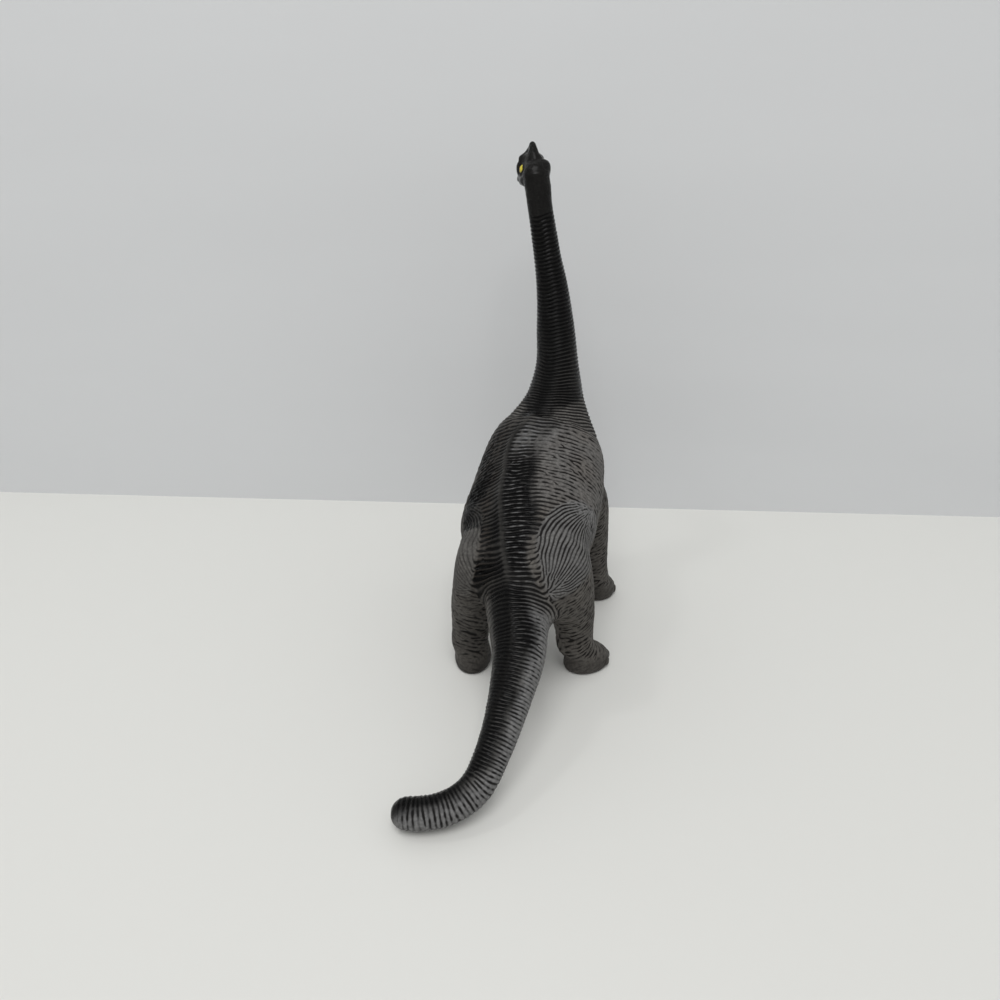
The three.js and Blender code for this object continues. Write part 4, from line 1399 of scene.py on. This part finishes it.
def painted_vinyl(name):
    """Vinyl with dark grooves under a half-gloss black paint, bare on its crests from wear and at painted
    highlights.
    """
    finish = Finish(name)
    mottle = finish.range(finish.noise(MOTTLE_SCALE), *MOTTLE_RANGE)
    crest = finish.mix(mottle, VINYL, DARK_VINYL)
    crest = finish.mix(finish.layer("warm"), crest, WARM_VINYL)
    # the paler tones, and the painted highlights on the crests
    crest = finish.mix(finish.layer("pale_and_highlight"), crest, PALE_AND_HIGHLIGHT_VINYL)
    speckle = finish.range(finish.noise(SPECKLE_SCALE, FINE_DETAIL), *SPECKLE_RANGE)
    crest = finish.mix(1.0, crest, finish.grey(speckle), "MULTIPLY")
    # darker in the grooves
    groove_darkening = finish.range(finish.layer("groove"), *GROOVE_DARKENING_RANGE)
    vinyl = finish.mix(groove_darkening, crest, GROOVE_BLACK)
    paint = finish.layer("paint")
    finish.put(finish.mix(paint, vinyl, PAINT_BLACK), finish.shader.inputs["Base Color"])
    rough = finish.range(paint, *ROUGH_RANGE)
    rough = finish.math("ADD", rough, finish.range(finish.noise(GRAIN_SCALE), *GRAIN_RANGE))
    finish.put(rough, finish.shader.inputs["Roughness"])
    finish.bump(finish.noise(PORE_SCALE, PLAIN_DETAIL), PORE_DEPTH, PORE_STRENGTH)
    finish.shader.inputs["IOR"].default_value = VINYL_IOR
    finish.shader.inputs["Specular IOR Level"].default_value = VINYL_SPECULAR
    return finish.material


def glossy_eye(name):
    """Yellow round a black pupil, with a darker rim and fine mottling."""
    finish = Finish(name)
    angle = finish.layer("from_pupil")
    flecks = finish.range(finish.noise(FLECK_SCALE, FINE_DETAIL), *MOTTLE_RANGE)
    yellow = finish.mix(flecks, YELLOW, DEEP_YELLOW)
    rim = finish.range(angle, *RIM_ANGLES, 1, 0)
    yellow = finish.mix(finish.math("MULTIPLY", rim, RIM_SHARE), yellow, RIM_BROWN)
    pupil = finish.range(angle, PUPIL_ANGLE - PUPIL_BLUR, PUPIL_ANGLE + PUPIL_BLUR, 1, 0)
    finish.put(finish.mix(pupil, yellow, PUPIL_BLACK), finish.shader.inputs["Base Color"])
    finish.bump(finish.noise(GRAIN_SCALE, PLAIN_DETAIL), RIPPLE_DEPTH, RIPPLE_STRENGTH)
    finish.shader.inputs["Roughness"].default_value = EYE_ROUGHNESS
    finish.shader.inputs["IOR"].default_value = EYE_IOR
    return finish.material


vinyl = painted_vinyl("painted_vinyl")
for piece in skin_pieces:
    piece.data.materials.append(vinyl)
eye_gloss = glossy_eye("glossy_yellow")
for eye in eyes:
    eye.data.materials.append(eye_gloss)


# Floor, wall, light and camera

# The colours of the floor and the wall, with their roughness, the floor's size, and the faint shade on both:
# its tone, how fine it is, and the range of the noise that it comes from
FLOOR_COLOR = (0.74, 0.74, 0.71, 1)
FLOOR_ROUGHNESS = 0.6
FLOOR_SIZE = 8000
WALL_COLOR = (0.67, 0.68, 0.69, 1)
WALL_ROUGHNESS = 0.8
SHADE_SHARE = 0.985
SHADE_SCALE = 6
SHADE_RANGE = (0.4, 0.6, 0, 1)

# Each light: its place, the place that it aims at and its size, in metres, and its power in watts
LIGHTS = {
    "softbox": ((0.05, -0.80, 1.7), (0, 0, 0.08), 1.0, 15),
    "lamp": ((-0.5, -0.1, 1.1), (0, 0, 0.08), 0.12, 0.7),
}

# The strength of the even light all round, and how near the camera sees, in metres
SKY_STRENGTH = 0.56
CAMERA_NEAR = 0.01


def stage_plane(name, color, roughness):
    bpy.ops.object.select_all(action="DESELECT")
    bpy.ops.mesh.primitive_plane_add(size=1, location=(0, 0, 0))
    plane = bpy.context.active_object
    plane.name = name
    finish = Finish(name + "_paint")
    shade = tuple(channel * SHADE_SHARE for channel in color[:3]) + (1,)
    shade_share = finish.range(finish.noise(SHADE_SCALE, PLAIN_DETAIL), *SHADE_RANGE)
    finish.put(finish.mix(shade_share, color, shade), finish.shader.inputs["Base Color"])
    finish.shader.inputs["Roughness"].default_value = roughness
    plane.data.materials.append(finish.material)
    return plane, finish


def make_stage():
    """A floor, and a wall that can be looked through from behind."""
    floor, _ = stage_plane("floor", FLOOR_COLOR, FLOOR_ROUGHNESS)
    floor.scale = (FLOOR_SIZE * MM, FLOOR_SIZE * MM, 1)
    wall, finish = stage_plane("wall", WALL_COLOR, WALL_ROUGHNESS)
    wall.scale = (WALL_WIDTH * MM, WALL_HEIGHT * MM, 1)
    wall.rotation_euler = (math.radians(90), 0, math.radians(WALL_TURN))
    wall.location = (WALL_PLACE[0] * MM, WALL_PLACE[1] * MM, WALL_HEIGHT / 2 * MM)
    clear = finish.add("BsdfTransparent")
    back_face = finish.add("NewGeometry").outputs["Backfacing"]
    both = finish.add("MixShader", {0: back_face, 1: finish.shader.outputs[0], 2: clear.outputs[0]})
    finish.put(both.outputs[0], finish.tree.nodes["Material Output"].inputs["Surface"])


def make_light(name, place, aim, size, power):
    light = bpy.data.lights.new(name, "AREA")
    light.energy = power
    light.shape = "DISK"
    light.size = size
    lamp = bpy.data.objects.new(name, light)
    lamp.location = place
    lamp.rotation_euler = (Vector(aim) - Vector(place)).to_track_quat("-Z", "Y").to_euler()
    bpy.context.scene.collection.objects.link(lamp)


def make_world():
    world = bpy.data.worlds.new("studio")
    world.use_nodes = True
    background = world.node_tree.nodes["Background"]
    background.inputs["Color"].default_value = (1, 1, 1, 1)
    background.inputs["Strength"].default_value = SKY_STRENGTH
    bpy.context.scene.world = world


def make_camera():
    camera = bpy.data.cameras.new("camera")
    camera.lens = CAMERA_LENS
    camera.sensor_width = SENSOR_WIDTH
    camera.clip_start = CAMERA_NEAR
    holder = bpy.data.objects.new("camera", camera)
    holder.location = [axis * MM for axis in CAMERA_PLACE]
    holder.rotation_euler = (math.radians(90 - CAMERA_TILT), 0, math.radians(CAMERA_TURN))
    bpy.context.scene.collection.objects.link(holder)
    bpy.context.scene.camera = holder


make_stage()
for light_name, light_settings in LIGHTS.items():
    make_light(light_name, *light_settings)
make_world()
make_camera()
bpy.context.scene.view_settings.view_transform = "Standard"
